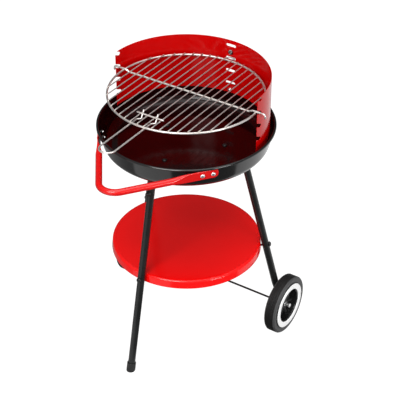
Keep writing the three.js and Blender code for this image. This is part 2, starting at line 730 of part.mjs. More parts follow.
// ---- foot cap on the front leg, trimmed level with the floor
function buildFootCap() {
  const { at, axis } = legLines.front;
  const base = at(0);
  const r = CAP_D / 2;
  const outer = aim(turnedSolid(
    [[0, -14], [r, -14], [r, CAP_H - 1], [r - 1, CAP_H], [0, CAP_H]], 24), base, axis);
  const pocket = rod(
    offset(base, axis, 5.4), offset(base, axis, CAP_H + 5), LEG_D / 2 + GAP, 24);
  const aboveFloor = extruded([[-40, -40], [40, -40], [40, 40], [-40, 40]], 60)
    .translate(base.x, base.y, 0);
  place('foot_cap', cut(clip(outer, aboveFloor), pocket), blackCap());
}

// ---- shelf: shallow pan turned flange-down
// radius, depth below the shelf top: out over the top, then back along the underside
const SHELF_SECTION = [
  [0, 0], [182, 0], [185.1, 0.9], [187.4, 3.1], [188.3, 6.2], [189.8, 21.5],
  [188.8, 21.5], [187.3, 6.4], [186.5, 3.6], [184.6, 1.8], [182, SHELF_SHEET], [0, SHELF_SHEET],
];

function buildShelf() {
  let shelf = turnedSolid(SHELF_SECTION.map(([r, depth]) => [r, SHELF_TOP_Z - depth]), 56);
  for (const { shelfBolt, outward } of Object.values(legLines)) {
    shelf = cut(shelf, bore(shelfBolt, outward, -20, 0));
  }
  place('shelf', shelf, redPaint());
}

// ---- axle and wheels; wheel sections are [radius, distance from the grill's middle]
function buildAxle() {
  const ends = [-AXLE_END_X, AXLE_END_X].map((x) => vec(x, AXLE_Y, AXLE_Z));
  place('axle', rod(...ends, AXLE_D / 2, 16), blackHardware());
}

const HUB_BOSS_END = WHEEL_OUTER_X - 12;

function tyre() {
  const [inner, outer, r] = [WHEEL_INNER_X, WHEEL_OUTER_X, WHEEL_D / 2];
  return turned([
    [62, inner + 1], [62, outer - 1], [65, outer], [74, outer],
    [r, outer - 4], [r, inner + 4], [74, inner], [65, inner]], 40);
}

// channel-shaped rim, centre boss and eight spokes
function wheelHub() {
  const [inner, outer] = [WHEEL_INNER_X, WHEEL_OUTER_X];
  const rim = turned([
    [61.7, inner + 2], [61.7, outer - 1.4], [60.6, outer + 0.4], [45.4, outer + 0.4],
    [43.6, outer - 1.4], [43.6, inner + 4], [46.2, inner + 4], [46.2, outer - 2.8],
    [58.7, outer - 2.8], [58.7, inner + 2]], 30);
  const boreR = AXLE_D / 2 + 0.4;
  const boss = turned([
    [boreR, inner - 0.5], [9, inner - 0.5], [9, HUB_BOSS_END - 0.4],
    [7.8, HUB_BOSS_END], [boreR, HUB_BOSS_END]], 16);
  const spokeOutline = [[7.4, -2.4], [44.8, -2.4], [44.8, 2.4], [7.4, 2.4]];
  const spokes = Array.from({ length: 8 }, (_, k) => extruded(spokeOutline, 12.5)
    .translate(0, 0, inner + 4.5).rotateZ((22.5 + 45 * k) * RAD));
  return join(rim, boss, ...spokes);
}

function trimRing() {
  const back = WHEEL_OUTER_X + 0.7;
  const face = WHEEL_OUTER_X + 2.2;
  return turned([[45.8, back], [60.4, back], [60.4, face], [46.6, face]], 40);
}

// long-necked nut: slim barrel against the washer, hexagon at the end of the axle
const axleNut = () =>
  join(sleeve(AXLE_BORE_R, 3.9, 8.4, 12), hexNut(4.6, AXLE_BORE_R).translate(0, 0, 8));

function buildWheel(side) {
  const sign = SIDES[side];
  const onAxle = (name, geo, x, material) =>
    place(name, aim(geo, vec(sign * x, AXLE_Y, AXLE_Z), vec(sign, 0, 0)), material);
  onAxle(`wheel_${side}_tyre`, tyre(), 0, tyreRubber());
  onAxle(`wheel_${side}_hub`, wheelHub(), 0, hubPlastic());
  onAxle(`wheel_${side}_trim_ring`, trimRing(), 0, whitePlastic());

  const innerWasherX = LEG_PLATE_X + STRIP_T / 2 + GAP;
  const outerWasherX = HUB_BOSS_END + GAP;
  const outerWasherT = 1.5;
  const nutX = outerWasherX + outerWasherT + GAP;
  const innerWasher = sleeve(AXLE_BORE_R, 8, 1.4, 16);
  const outerWasher = sleeve(AXLE_BORE_R, 5.6, outerWasherT, 16);
  onAxle(`inner_washer_${side}`, innerWasher, innerWasherX, zinc());
  onAxle(`outer_washer_${side}`, outerWasher, outerWasherX, zinc());
  onAxle(`axle_nut_${side}`, axleNut(), nutX, zinc());
}

buildBowl();
buildWindshield();
buildGrate();
buildLifter();
buildHandle();
buildHandleFasteners();
buildShieldFasteners();
Object.keys(LEGS).forEach(buildLeg);
buildFootCap();
buildShelf();
buildAxle();
Object.keys(SIDES).forEach(buildWheel);

export default group;
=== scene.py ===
"""Round charcoal grill on three legs, with a windshield, a wire grate, a shelf and two wheels.

Lengths are millimetres in the grill's own frame: bowl axis at x = y = 0, ground at z = 0,
front towards -Y, right towards +X. make_piece() moves them to the CAD frame, in metres.
"""

import math

import bmesh
import bpy
import numpy as np
from mathutils import Matrix, Vector, geometry


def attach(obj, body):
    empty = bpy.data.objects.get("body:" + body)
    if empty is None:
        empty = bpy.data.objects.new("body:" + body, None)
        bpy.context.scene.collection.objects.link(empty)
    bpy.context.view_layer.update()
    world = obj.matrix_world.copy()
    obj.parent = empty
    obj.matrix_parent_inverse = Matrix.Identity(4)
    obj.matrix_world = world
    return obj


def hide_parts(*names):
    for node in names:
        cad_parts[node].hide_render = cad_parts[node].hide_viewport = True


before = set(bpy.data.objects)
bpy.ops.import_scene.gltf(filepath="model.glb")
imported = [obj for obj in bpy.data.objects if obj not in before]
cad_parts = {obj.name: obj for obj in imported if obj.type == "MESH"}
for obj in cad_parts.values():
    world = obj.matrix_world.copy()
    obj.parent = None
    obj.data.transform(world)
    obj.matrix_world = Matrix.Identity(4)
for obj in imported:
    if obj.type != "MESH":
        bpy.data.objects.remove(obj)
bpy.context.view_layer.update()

DEG = math.pi / 180
UP = np.array([0, 0, 1.0])
BOWL_AXIS_Y = 57.453            # bowl axis in the CAD frame

# Bowl
RIM_R, RIM_Z = 215.0, 600.6
WALL_R = 210.0                  # outside of the wall, carried up to rim height
WALL_SLOPE = 0.2                # radius lost per unit of drop
CONE = math.atan(WALL_SLOPE)
FLOOR_Z = 538.0
BOWL_SHEET = 1.2

# Grate: ring, grid wires and the cross bar whose ends rest in the windshield notches
RING_R, RING_WIRE_R = 186.0, 2.5
GRID_WIRE_R, GRID_PITCH, GRID_COUNT = 1.5, 19.25, 18
BAR_R, BAR_Y = 2.5, 5.0
BAR_LIFT = 4.7                  # bar ends above the ring centre
BAR_END_X, BAR_DROP = 212.0, 11.0

# Windshield: half a cylinder round the back
SHIELD_R, SHIELD_T = 199.2, 1.0
SHIELD_BOTTOM, SHIELD_TOP = 584.0, 728.7
SHIELD_START = -2.3             # azimuth of the right edge, degrees
LEVELS, LEVEL_PITCH = 4, 34.5
SLOT_Z, SLOT_W, SLOT_H = 611.4, 27.0, 7.0
NOTCH_W, NOTCH_TILT = 9.0, 25.0
SHIELD_BOLT_Z = (593.6, 697.4)
GRATE_DROP = 0.9                # grate ring below the slot centre of its level
GRATE_Z = SLOT_Z + 2 * LEVEL_PITCH - GRATE_DROP
GRID_Z = GRATE_Z + RING_WIRE_R + GRID_WIRE_R - 0.5

# Pressed tubes
STRIP_T = 2.7                   # thickness where a tube is pressed flat
TIP_STEPS = (0.0, 0.25, 0.7, 1.4, 2.4, 3.8, 5.6, 8.0, 11.0)  # stations over a rounded tip

# Handle: two straight arms meeting in a bend at the front
ARM_ANGLE = 36.8                # between each arm and the Y axis, degrees
ARM_OFFSET = 208.4              # arm centreline from the bowl axis
HANDLE_Z, HANDLE_BEND_R = 582.0, 38.0
HANDLE_TUBE_R, HANDLE_STRIP_W = 8.0, 26.0
ARM_END = 281.0                 # arm length from the corner where the centrelines meet
HANDLE_CORNER = np.array([0, -ARM_OFFSET / math.sin(ARM_ANGLE * DEG), HANDLE_Z])

# Legs: azimuth in degrees, centreline radius at the ground, radius lost per unit of height
LEGS = {
    "front": (-90.0, 256.0, 0.219),
    "rear_right": (25.8, 261.9, 0.241),
    "rear_left": (154.2, 261.9, 0.241),
}
LEG_TUBE_R, LEG_STRIP_W, TAB_W = 9.0, 28.0, 22.0
TAB_START_R = 80.0              # inner end of the tab under the bowl
TAB_Z = FLOOR_Z - 0.3 - STRIP_T / 2
STRIP_X = 215.0                 # flattened rear leg ends beside the wheels
STRIP_BOTTOM = 63.0

# Wheels and axle
WHEEL_IN, WHEEL_W, WHEEL_R = 219.0, 31.0, 77.5
WHEEL_OUT = WHEEL_IN + WHEEL_W
AXLE_Y, AXLE_Z, AXLE_R, AXLE_END = 100.0, WHEEL_R, 2.5, 253.0

SHELF_Z = 262.5
NUT_T = 5.0
GAP = 0.3                       # between parts bolted together


# ------------------------------------------------------------------ mesh tools
# A part is a pair: vertex array, list of faces.
def unit(vector):
    vector = np.asarray(vector, float)
    return vector / np.linalg.norm(vector)


def polar(radius, azimuth, z):
    return np.array([radius * math.cos(azimuth * DEG), radius * math.sin(azimuth * DEG), z])


def arc(x, z, radius, start, end, count):
    return [(x + radius * math.cos(a * DEG), z + radius * math.sin(a * DEG))
            for a in np.linspace(start, end, count)]


def smooth(x):
    x = min(max(x, 0.0), 1.0)
    return x * x * (3 - 2 * x)


def join(parts):
    verts, faces, start = [], [], 0
    for part_verts, part_faces in parts:
        verts.append(np.asarray(part_verts, float))
        faces += [tuple(int(i) + start for i in face) for face in part_faces]
        start += len(part_verts)
    return np.concatenate(verts), faces


def skin(rings, closed=False):
    """Surface through equal rings; open ones are capped at both ends."""
    rings = np.asarray(rings, float)
    count, n = rings.shape[:2]
    faces = []
    for i in range(count if closed else count - 1):
        j = (i + 1) % count
        for k in range(n):
            m = (k + 1) % n
            faces.append((i * n + k, i * n + m, j * n + m, j * n + k))
    if not closed:
        faces.append(tuple(range(n - 1, -1, -1)))
        faces.append(tuple(range((count - 1) * n, count * n)))
    return rings.reshape(-1, 3), faces


def lathe(profile, n, closed=False, offset=None):
    """Turn (r, z) points about Z. Open profiles begin and end on the axis."""
    verts, faces, rows = [], [], []
    angles = 2 * math.pi * np.arange(n) / n
    for i, (radius, z) in enumerate(profile):
        on_axis = radius < 1e-6
        rows.append((len(verts), on_axis))
        if on_axis:
            verts.append((0, 0, z))
            continue
        for angle in angles:
            r = radius if offset is None else radius + offset(angle, z, i)
            verts.append((r * math.cos(angle), r * math.sin(angle), z))
    count = len(rows)
    for i in range(count if closed else count - 1):
        (a, a_on_axis), (b, b_on_axis) = rows[i], rows[(i + 1) % count]
        for k in range(n):
            m = (k + 1) % n
            if a_on_axis and b_on_axis:
                continue
            if a_on_axis:
                faces.append((a, b + k, b + m))
            elif b_on_axis:
                faces.append((a + k, b, a + m))
            else:
                faces.append((a + k, b + k, b + m, a + m))
    return np.array(verts, float), faces


def basis(axis, side=None):
    """Columns x, y, z with z along the axis and x as near to side as it can be."""
    axis = unit(axis)
    if side is None:
        side = UP if abs(axis[2]) < 0.9 else np.array([0, 1.0, 0])
    side = np.asarray(side, float)
    side = unit(side - axis * (side @ axis))
    return np.stack([side, np.cross(axis, side), axis], 1)


def put(part, origin, axis, side=None):
    verts, faces = part
    return verts @ basis(axis, side).T + np.asarray(origin, float), faces


def fillet(corner, to_start, to_end, radius):
    """Centre, start and end offsets from it, angle swept, and distance cut off the corner."""
    half = math.acos(max(-1, min(1, to_start @ to_end))) / 2
    reach = radius / math.tan(half)
    centre = corner + unit(to_start + to_end) * (radius / math.sin(half))
    start = corner + to_start * reach - centre
    end = corner + to_end * reach - centre
    sweep = math.acos(max(-1, min(1, (start @ end) / (radius * radius))))
    return centre, start, end, sweep, reach


def on_arc(start, end, sweep, t):
    return (start * math.sin((1 - t) * sweep) + end * math.sin(t * sweep)) / math.sin(sweep)


def bent(points, radii):
    """Corner points with bend radii, sampled every 7 degrees or less."""
    points = [np.asarray(p, float) for p in points]
    path = [points[0]]
    for i in range(1, len(points) - 1):
        p = points[i]
        centre, start, end, sweep, _ = fillet(
            p, unit(points[i - 1] - p), unit(points[i + 1] - p), radii[i])
        steps = max(2, int(math.ceil(sweep / (7.0 * DEG))))
        path += [centre + on_arc(start, end, sweep, j / steps) for j in range(steps + 1)]
    path.append(points[-1])
    return np.array(path)


def densify(path, gap):
    path = np.asarray(path, float)
    dense = [path[0]]
    for a, b in zip(path[:-1], path[1:]):
        count = max(1, int(np.linalg.norm(b - a) / gap))
        dense += [a + (b - a) * (j + 1) / count for j in range(count)]
    return np.array(dense)


def wire(path, radius, n=18):
    """Round wire along a centreline, with softened ends."""
    count = len(path)
    tangents = np.zeros_like(path)
    for i in range(1, count - 1):
        tangents[i] = unit(unit(path[i] - path[i - 1]) + unit(path[i + 1] - path[i]))
    tangents[0], tangents[-1] = unit(path[1] - path[0]), unit(path[-1] - path[-2])
    angles = 2 * math.pi * np.arange(n) / n
    side = basis(tangents[0])[:, 0]
    frames = []
    for tangent in tangents:
        side = unit(side - tangent * (side @ tangent))
        frames.append((side, np.cross(tangent, side)))

    def ring(i, r, along):
        a, b = frames[i]
        centre = path[i] + tangents[i] * along
        return centre + r * (np.cos(angles)[:, None] * a + np.sin(angles)[:, None] * b)

    inset = 0.45 * radius
    end_rounding = [(0.30, 0.0), (0.62, 0.08), (0.85, 0.36)]   # shares of radius and inset
    last = count - 1
    rings = [ring(0, radius * s, t * inset) for s, t in end_rounding]
    rings.append(ring(0, radius, inset))
    rings += [ring(i, radius, 0) for i in range(1, last)]
    rings.append(ring(last, radius, -inset))
    rings += [ring(last, radius * s, -t * inset) for s, t in reversed(end_rounding)]
    return skin(rings)


def weld_bead(centre, rx, ry, rz, n=14, rows=8):
    middle = [(math.sin(math.pi * k / rows), -math.cos(math.pi * k / rows))
              for k in range(1, rows)]
    verts, faces = lathe([(0, -1)] + middle + [(0, 1)], n)
    return verts * np.array([rx, ry, rz]) + np.asarray(centre, float), faces


def pressed_ring(centre, across, outward, pressed, tip, tube_r, strip_w, n):
    """Tube section: round when pressed = 0, a flat strip when 1; tip narrows its width."""
    width = 2 * tube_r + (strip_w - 2 * tube_r) * pressed
    thick = 2 * tube_r + (STRIP_T - 2 * tube_r) * pressed
    flat, round_r = (width - thick) / 2, thick / 2
    half_turn = math.pi * round_r
    x, y = np.zeros(n), np.zeros(n)
    # walk the outline: quarter arc, top, half arc, bottom, quarter arc
    for i, d in enumerate((np.arange(n) + 0.5) / n * (2 * half_turn + 4 * flat)):
        if d < half_turn / 2:
            a = d / round_r
            x[i], y[i] = flat + round_r * math.cos(a), round_r * math.sin(a)
        elif d < half_turn / 2 + 2 * flat:
            x[i], y[i] = flat - (d - half_turn / 2), round_r
        elif d < half_turn * 1.5 + 2 * flat:
            a = math.pi / 2 + (d - half_turn / 2 - 2 * flat) / round_r
            x[i], y[i] = -flat + round_r * math.cos(a), round_r * math.sin(a)
        elif d < half_turn * 1.5 + 4 * flat:
            x[i], y[i] = -flat + (d - half_turn * 1.5 - 2 * flat), -round_r
        else:
            a = 1.5 * math.pi + (d - half_turn * 1.5 - 4 * flat) / round_r
            x[i], y[i] = flat + round_r * math.cos(a), round_r * math.sin(a)
    return centre + (x * tip)[:, None] * across + y[:, None] * outward


def tip_share(distance, width, corner_r):
    """Width share at a distance from the end of a strip with rounded corners."""
    if distance >= corner_r:
        return 1.0
    reach = math.sqrt(max(corner_r * corner_r - (corner_r - distance) ** 2, 0))
    return max((width / 2 - corner_r + reach) / (width / 2), 0.05)


# ------------------------------------------------------------------ shader tools
class Nodes:
    """Shorthand for filling one node tree."""

    def __init__(self, tree):
        self.tree = tree
        tree.nodes.clear()

    def new(self, kind, inputs=None):
        """Node with its inputs set; sockets are linked, three-part tuples are colours."""
        node = self.tree.nodes.new("ShaderNode" + kind)
        self.feed(node, inputs or {})
        return node

    def feed(self, node, inputs):
        for key, value in inputs.items():
            if isinstance(value, bpy.types.NodeSocket):
                self.tree.links.new(value, node.inputs[key])
            elif isinstance(value, tuple):
                node.inputs[key].default_value = (*value, 1)
            else:
                node.inputs[key].default_value = value

    def object_coords(self):
        coords = self.new("TexCoord").outputs["Object"]
        return self.new("Mapping", {0: coords}).outputs[0]

    def noise(self, coords, scale, detail, roughness=0.5, distortion=0.0):
        return self.new("TexNoise", {
            "Vector": coords, "Scale": scale, "Detail": detail,
            "Roughness": roughness, "Distortion": distortion}).outputs["Fac"]

    def remap(self, source, low, high, source_low=0.3, source_high=0.7):
        return self.new("MapRange", {
            "Value": source, "From Min": source_low, "From Max": source_high,
            "To Min": low, "To Max": high}).outputs[0]

    def mix_color(self, factor, a, b):
        node = self.new("Mix")
        node.data_type = "RGBA"
        self.feed(node, {0: factor, 6: a, 7: b})
        return node.outputs[2]

    def math(self, operation, a, b):
        node = self.new("Math", {0: a, 1: b})
        node.operation = operation
        return node.outputs[0]

    def bump(self, height, strength, distance, under=None):
        inputs = {"Height": height, "Strength": strength, "Distance": distance}
        if under is not None:
            inputs["Normal"] = under
        return self.new("Bump", inputs).outputs[0]

    def surface(self, inputs):
        shader = self.new("BsdfPrincipled", inputs)
        self.new("OutputMaterial", {0: shader.outputs[0]})

    def by_ray(self, camera, glossy, other):
        """Value picked by who looks: the camera, a reflection, or bounced light."""
        path = self.new("LightPath")
        unseen = self.new("Mix", {0: path.outputs["Is Glossy Ray"], 2: other, 3: glossy})
        seen = self.new("Mix", {0: path.outputs["Is Camera Ray"],
                                2: unseen.outputs[0], 3: camera})
        return seen.outputs[0]

    def ramp(self, source, stops):
        """Grey value along a list of (position, value) stops."""
        node = self.new("ValToRGB", {0: source})
        elements = node.color_ramp.elements
        while len(elements) > 1:
            elements.remove(elements[-1])
        elements[0].position = stops[0][0]
        elements[0].color = (*[stops[0][1]] * 3, 1)
        for position, value in stops[1:]:
            elements.new(position).color = (value, value, value, 1)
        return self.new("SeparateColor", {0: node.outputs[0]}).outputs[0]


def new_material(name):
    material = bpy.data.materials.new(name)
    material.use_nodes = True
    return material, Nodes(material.node_tree)


# ------------------------------------------------------------------ materials
def enamel(name, base, tint, rough, rough_spread, spec, coat):
    """Glass-hard gloss enamel: pooled colour, faint orange peel, handling smudges."""
    material, nodes = new_material(name)
    coords = nodes.object_coords()
    pools = nodes.noise(coords, scale=9.0, detail=3)
    smudges = nodes.noise(coords, scale=26.0, detail=5, roughness=0.6, distortion=1.2)
    peel = nodes.bump(nodes.noise(coords, scale=420.0, detail=2),
                      strength=0.03, distance=0.0003)
    wave = nodes.bump(nodes.noise(coords, scale=11.0, detail=1),
                      strength=0.025, distance=0.004, under=peel)
    nodes.surface({
        "Base Color": nodes.mix_color(nodes.remap(pools, low=0, high=1), base, tint),
        "Roughness": nodes.remap(smudges, low=rough, high=rough + rough_spread),
        "Specular IOR Level": spec,
        "Coat Weight": coat,
        "Coat Roughness": 0.04,
        "Normal": wave})
    return material


def paint(name, base, dark, rough, coat, peel, wave, spec):
    """Sprayed gloss paint over steel; peel and wave are bump strengths."""
    material, nodes = new_material(name)
    coords = nodes.object_coords()
    patches = nodes.noise(coords, scale=5.5, detail=2)
    flecks = nodes.noise(coords, scale=1400.0, detail=1)
    smudges = nodes.noise(coords, scale=18.0, detail=5, roughness=0.6, distortion=0.8)
    color = nodes.mix_color(nodes.remap(patches, low=0, high=0.35), base, dark)
    color = nodes.mix_color(nodes.remap(flecks, low=0, high=0.12), color, dark)
    peel_bump = nodes.bump(nodes.noise(coords, scale=520.0, detail=2),
                           strength=peel, distance=0.0004)
    wave_bump = nodes.bump(nodes.noise(coords, scale=14.0, detail=1),
                           strength=wave, distance=0.006, under=peel_bump)
    nodes.surface({
        "Base Color": color,
        "Roughness": nodes.remap(smudges, low=rough, high=rough + 0.08),
        "Specular IOR Level": spec,
        "Coat Weight": coat,
        "Coat Roughness": 0.05,
        "Normal": wave_bump})
    return material


def powder(name, base, rough, grain, spec):
    """Powder coat or moulded plastic with a fine even grain."""
    material, nodes = new_material(name)
    coords = nodes.object_coords()
    light = tuple(min(1, c * 1.5 + 0.004) for c in base)
    patches = nodes.noise(coords, scale=14.0, detail=3)
    smudges = nodes.noise(coords, scale=60.0, detail=4, roughness=0.6)
    grains = nodes.noise(coords, scale=1600.0, detail=2)
    nodes.surface({
        "Base Color": nodes.mix_color(nodes.remap(patches, low=0, high=1), base, light),
        "Roughness": nodes.remap(smudges, low=rough, high=rough + 0.1),
        "Specular IOR Level": spec,
        "Normal": nodes.bump(grains, strength=grain, distance=0.0003)})
    return material


def plated(name, base, tint, rough, weld=False, metallic=1.0):
    """Bright plating with fine lines and dull spots, browned where the weld attribute says."""
    material, nodes = new_material(name)
    cloud = nodes.noise(nodes.object_coords(), scale=55.0, detail=4, roughness=0.6)
    dull = nodes.remap(cloud, low=0, high=0.35, source_low=0.45, source_high=0.75)
    color = nodes.mix_color(dull, base, tint)
    roughness = nodes.remap(cloud, low=rough, high=rough + 0.14)
    if weld:
        attribute = nodes.new("Attribute")
        attribute.attribute_name = "weld"
        near_weld = attribute.outputs["Fac"]
        scorch = (0.42, 0.37, 0.31)
        color = nodes.mix_color(nodes.math("MULTIPLY", near_weld, 0.55), color, scorch)
        roughness = nodes.math("ADD", roughness, nodes.math("MULTIPLY", near_weld, 0.25))
    lines = nodes.noise(nodes.object_coords(), scale=900.0, detail=2)
    nodes.surface({
        "Base Color": color,
        "Roughness": roughness,
        "Metallic": metallic,
        "Normal": nodes.bump(lines, strength=0.08, distance=0.0003)})
    return material


MATERIALS = {
    "enamel_out": enamel(
        "black_enamel_outside", base=(0.003, 0.003, 0.003), tint=(0.005, 0.005, 0.005),
        rough=0.1, rough_spread=0.07, spec=0.5, coat=0.2),
    # Inside enamel: its dark red base and tint are a painted reflection of the red windshield.
    "enamel_in_red_reflection": enamel(
        "black_enamel_inside_painted_red_reflection", base=(0.006, 0.0003, 0.0004), tint=(0.0095, 0.0004, 0.0005),
        rough=0.09, rough_spread=0.03, spec=0.25, coat=0.0),
    "red_sheet": paint(
        "red_gloss_sheet", base=(0.55, 0.0006, 0.0006), dark=(0.47, 0.0005, 0.0005),
        rough=0.13, coat=0.05, peel=0.06, wave=0.05, spec=0.2),
    "red_tube": paint(
        "red_gloss_tube", base=(0.64, 0.002, 0.002), dark=(0.57, 0.0015, 0.0015),
        rough=0.16, coat=0.25, peel=0.08, wave=0.02, spec=0.4),
    "red_shelf": paint(
        "red_gloss_shelf", base=(0.90, 0.003, 0.003), dark=(0.80, 0.002, 0.002),
        rough=0.15, coat=0.15, peel=0.05, wave=0.07, spec=0.35),
    "leg": powder(
        "black_leg_coat", base=(0.005, 0.0056, 0.0056), rough=0.25, grain=0.1, spec=0.4),
    "cap": powder(
        "black_moulded_cap", base=(0.006, 0.006, 0.006), rough=0.4, grain=0.2, spec=0.35),
    "chrome": plated(
        "chrome_wire", base=(0.74, 0.70, 0.675), tint=(0.58, 0.54, 0.5),
        rough=0.24, weld=True, metallic=0.85),
    "zinc": plated(
        "zinc_hardware", base=(0.88, 0.88, 0.88), tint=(0.74, 0.73, 0.7), rough=0.26),
    # Upper shield bolt head: zinc darkened as a painted reflection of dark surroundings.
    "zinc_dark_reflection": plated(
        "zinc_head_painted_dark_reflection", base=(0.30, 0.28, 0.28), tint=(0.2, 0.19, 0.19), rough=0.1),
    "black_steel": paint(
        "blackened_steel", base=(0.003, 0.003, 0.003), dark=(0.005, 0.0045, 0.0045),
        rough=0.34, coat=0.0, peel=0.1, wave=0.05, spec=0.25),
    "tread": powder(
        "tyre_tread", base=(0.0035, 0.0033, 0.0033), rough=0.5, grain=0.3, spec=0.25),
    # Sidewall: the same black rubber lightened about ten-fold as painted sheen.
    "sidewall": powder(
        "tyre_sidewall_painted_sheen", base=(0.034, 0.034, 0.035), rough=0.5, grain=0.3, spec=0.4),
    "hub": powder(
        "hub_plastic", base=(0.0045, 0.0045, 0.0047), rough=0.22, grain=0.08, spec=0.6),
    # Spokes: the hub's black plastic lightened as a painted highlight on the spokes.
    "spoke": powder(
        "hub_spoke_painted_highlight", base=(0.022, 0.022, 0.023), rough=0.28, grain=0.1, spec=0.6),
    "white": powder(
        "white_plastic", base=(0.97, 0.97, 0.97), rough=0.3, grain=0.06, spec=0.5),
}


# ------------------------------------------------------------------ making a piece
def shade_by_angle(mesh, sharp):
    """Face the normals outwards; edges folded more than sharp degrees stay crisp."""
    bm = bmesh.new()
    bm.from_mesh(mesh)
    bmesh.ops.recalc_face_normals(bm, faces=bm.faces)
    for edge in bm.edges:
        edge.smooth = len(edge.link_faces) == 2 and edge.calc_face_angle(0.0) < sharp * DEG
    for face in bm.faces:
        face.smooth = True
    bm.to_mesh(mesh)
    bm.free()


def mark_welds(mesh, verts, welds):
    """Attribute falling from 1 at the welds to 0 a few millimetres away."""
    distance = np.full(len(verts), 1e9)
    for weld in np.asarray(welds, float):
        distance = np.minimum(distance, np.linalg.norm(verts - weld, axis=1))
    attribute = mesh.attributes.new("weld", "FLOAT", "POINT")
    near = np.clip(1 - (distance - 1.5) / 4.5, 0, 1)
    attribute.data.foreach_set("value", near.astype(np.float32))


def make_piece(node, form, part, materials, sharp, body="stand",
               face_materials=None, welds=None):
    """Object standing in for a CAD node. With sharp None the caller sets the shading."""
    verts, faces = part
    placed = verts.copy()
    placed[:, 1] += BOWL_AXIS_Y
    placed *= 0.001
    name = f"{node}_{form}"
    mesh = bpy.data.meshes.new(name)
    mesh.from_pydata([tuple(p) for p in placed], [], faces)
    mesh.polygons.foreach_set("material_index", face_materials or [0] * len(faces))
    mesh.update()
    if sharp is not None:
        shade_by_angle(mesh, sharp)
    if welds is not None:
        mark_welds(mesh, verts, welds)
    mesh.update()
    piece = bpy.data.objects.new(name, mesh)
    bpy.context.scene.collection.objects.link(piece)
    for key in materials:
        mesh.materials.append(MATERIALS[key])
    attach(piece, body)
    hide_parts(node)
    return piece


# ------------------------------------------------------------------ bowl
def wall_radius(z):
    return WALL_R - WALL_SLOPE * (RIM_Z - z)


def bowl():
    sheet, n = BOWL_SHEET, 240
    floor_radii = (0, 60, 84, 104, 140)
    corner_r = 26.0
    corner_z = FLOOR_Z + corner_r
    corner_x = wall_radius(corner_z) - corner_r / math.cos(CONE)
    corner_end = -math.degrees(CONE)
    corner = arc(corner_x, corner_z, corner_r, -90, corner_end, 16)
    wall_z = np.linspace(corner[-1][1] + 2, RIM_Z - sheet - 3.2, 10)
    neck_r = wall_radius(RIM_Z - sheet)

    # outside, from the middle of the floor up to the flange and its turned edge
    outside = [(r, FLOOR_Z) for r in floor_radii] + corner
    outside += [(wall_radius(z), z) for z in wall_z]
    outside += [(neck_r + 0.1, RIM_Z - sheet - 1.5), (neck_r + 0.5, RIM_Z - sheet - 0.6),
                (neck_r + 1.3, RIM_Z - sheet)]
    outside += arc(RIM_R - sheet - 1.6, RIM_Z - sheet - 1.6, 1.6, 90, 0, 5)
    outside += [(RIM_R - sheet, RIM_Z - 5.0), (RIM_R - sheet * 0.8, RIM_Z - 5.25),
                (RIM_R - sheet * 0.2, RIM_Z - 5.25), (RIM_R, RIM_Z - 5.0)]

    # over the rim and back down the inside
    inside = arc(RIM_R - 3.2, RIM_Z - 3.2, 3.2, 0, 90, 7)
    inside += [(neck_r + 1.2, RIM_Z), (neck_r + 0.1, RIM_Z - 0.3), (neck_r - 0.7, RIM_Z - 1.2),
               (wall_radius(RIM_Z - 3.4) - sheet, RIM_Z - 3.4)]
    inside += [(wall_radius(z) - sheet, z) for z in wall_z[::-1][1:]]
    inside += [(x - sheet * math.cos(a * DEG), z - sheet * math.sin(a * DEG))
               for (x, z), a in zip(corner[::-1], np.linspace(corner_end, -90, 16))]
    inside += [(r, FLOOR_Z + sheet) for r in floor_radii[::-1]]

    part = lathe(outside + inside, n)
    # Faces past the rim get the inside enamel, tinted red as a painted reflection of the
    # windshield.
    first_inside = 1 + (len(outside) - 1 + 8) * n      # the inside colour starts past the rim
    make_piece("bowl", "pan", part, ["enamel_out", "enamel_in_red_reflection"], 50,
               face_materials=[int(min(face) >= first_inside) for face in part[1]])


# ------------------------------------------------------------------ windshield
# Laid out flat: u is the arc length from azimuth 0 (+X), counterclockwise from above.
def shield_u(y):
    return SHIELD_R * math.asin(y / SHIELD_R)


def inside_loop(loop, points):
    """Even-odd test of each point against a closed loop."""
    x, y = points[:, 0], points[:, 1]
    inside = np.zeros(len(points), bool)
    for i in range(len(loop)):
        (x1, y1), (x2, y2) = loop[i], loop[(i + 1) % len(loop)]
        if y1 != y2:
            crossing = (x2 - x1) * (y - y1) / (y2 - y1) + x1
            inside ^= ((y1 > y) != (y2 > y)) & (x < crossing)
    return inside


def notch(level, edge_u):
    """Right edge round one notch: a slanting slot, open at the edge, with a round end."""
    tilt = NOTCH_TILT * DEG
    half = NOTCH_W / 2
    edge_y = SHIELD_R * math.sin(SHIELD_START * DEG)
    bar_z = SLOT_Z + level * LEVEL_PITCH - GRATE_DROP + BAR_LIFT
    play = half - BAR_R - GAP
    y0, z0 = BAR_Y + play * math.sin(tilt), bar_z + play * math.cos(tilt)

    def flank(side, run):
        """Point on the lower (-1) or upper (1) flank, run away from the round end."""
        return (y0 + side * half * math.sin(tilt) - run * math.cos(tilt),
                z0 + side * half * math.cos(tilt) + run * math.sin(tilt))

    lower_run = (y0 - half * math.sin(tilt) - edge_y) / math.cos(tilt)
    lower_z = flank(-1, lower_run)[1]
    y, z = flank(-1, lower_run - 1.6)
    points = [(edge_u, lower_z - 1.6), (edge_u + 0.45, lower_z - 0.45), (shield_u(y), z)]
    points += [(shield_u(y), z)
               for y, z in arc(y0, z0, half, -90 - NOTCH_TILT, 90 - NOTCH_TILT, 15)]
    upper_run = (y0 + half * math.sin(tilt) - edge_y) / math.cos(tilt)
    upper_z = flank(1, upper_run)[1]
    if upper_z < SHIELD_TOP - 1:
        y, z = flank(1, upper_run - 1.2)
        points += [(shield_u(y), z), (edge_u + 0.3, upper_z + 0.2), (edge_u, upper_z + 1.4)]
    else:  # the top notch runs out through the top edge
        y = flank(1, (SHIELD_TOP - z0 - half * math.cos(tilt)) / math.sin(tilt))[0]
        points += [(shield_u(y + 0.9), SHIELD_TOP - 0.4), (shield_u(y + 1.9), SHIELD_TOP)]
    return points


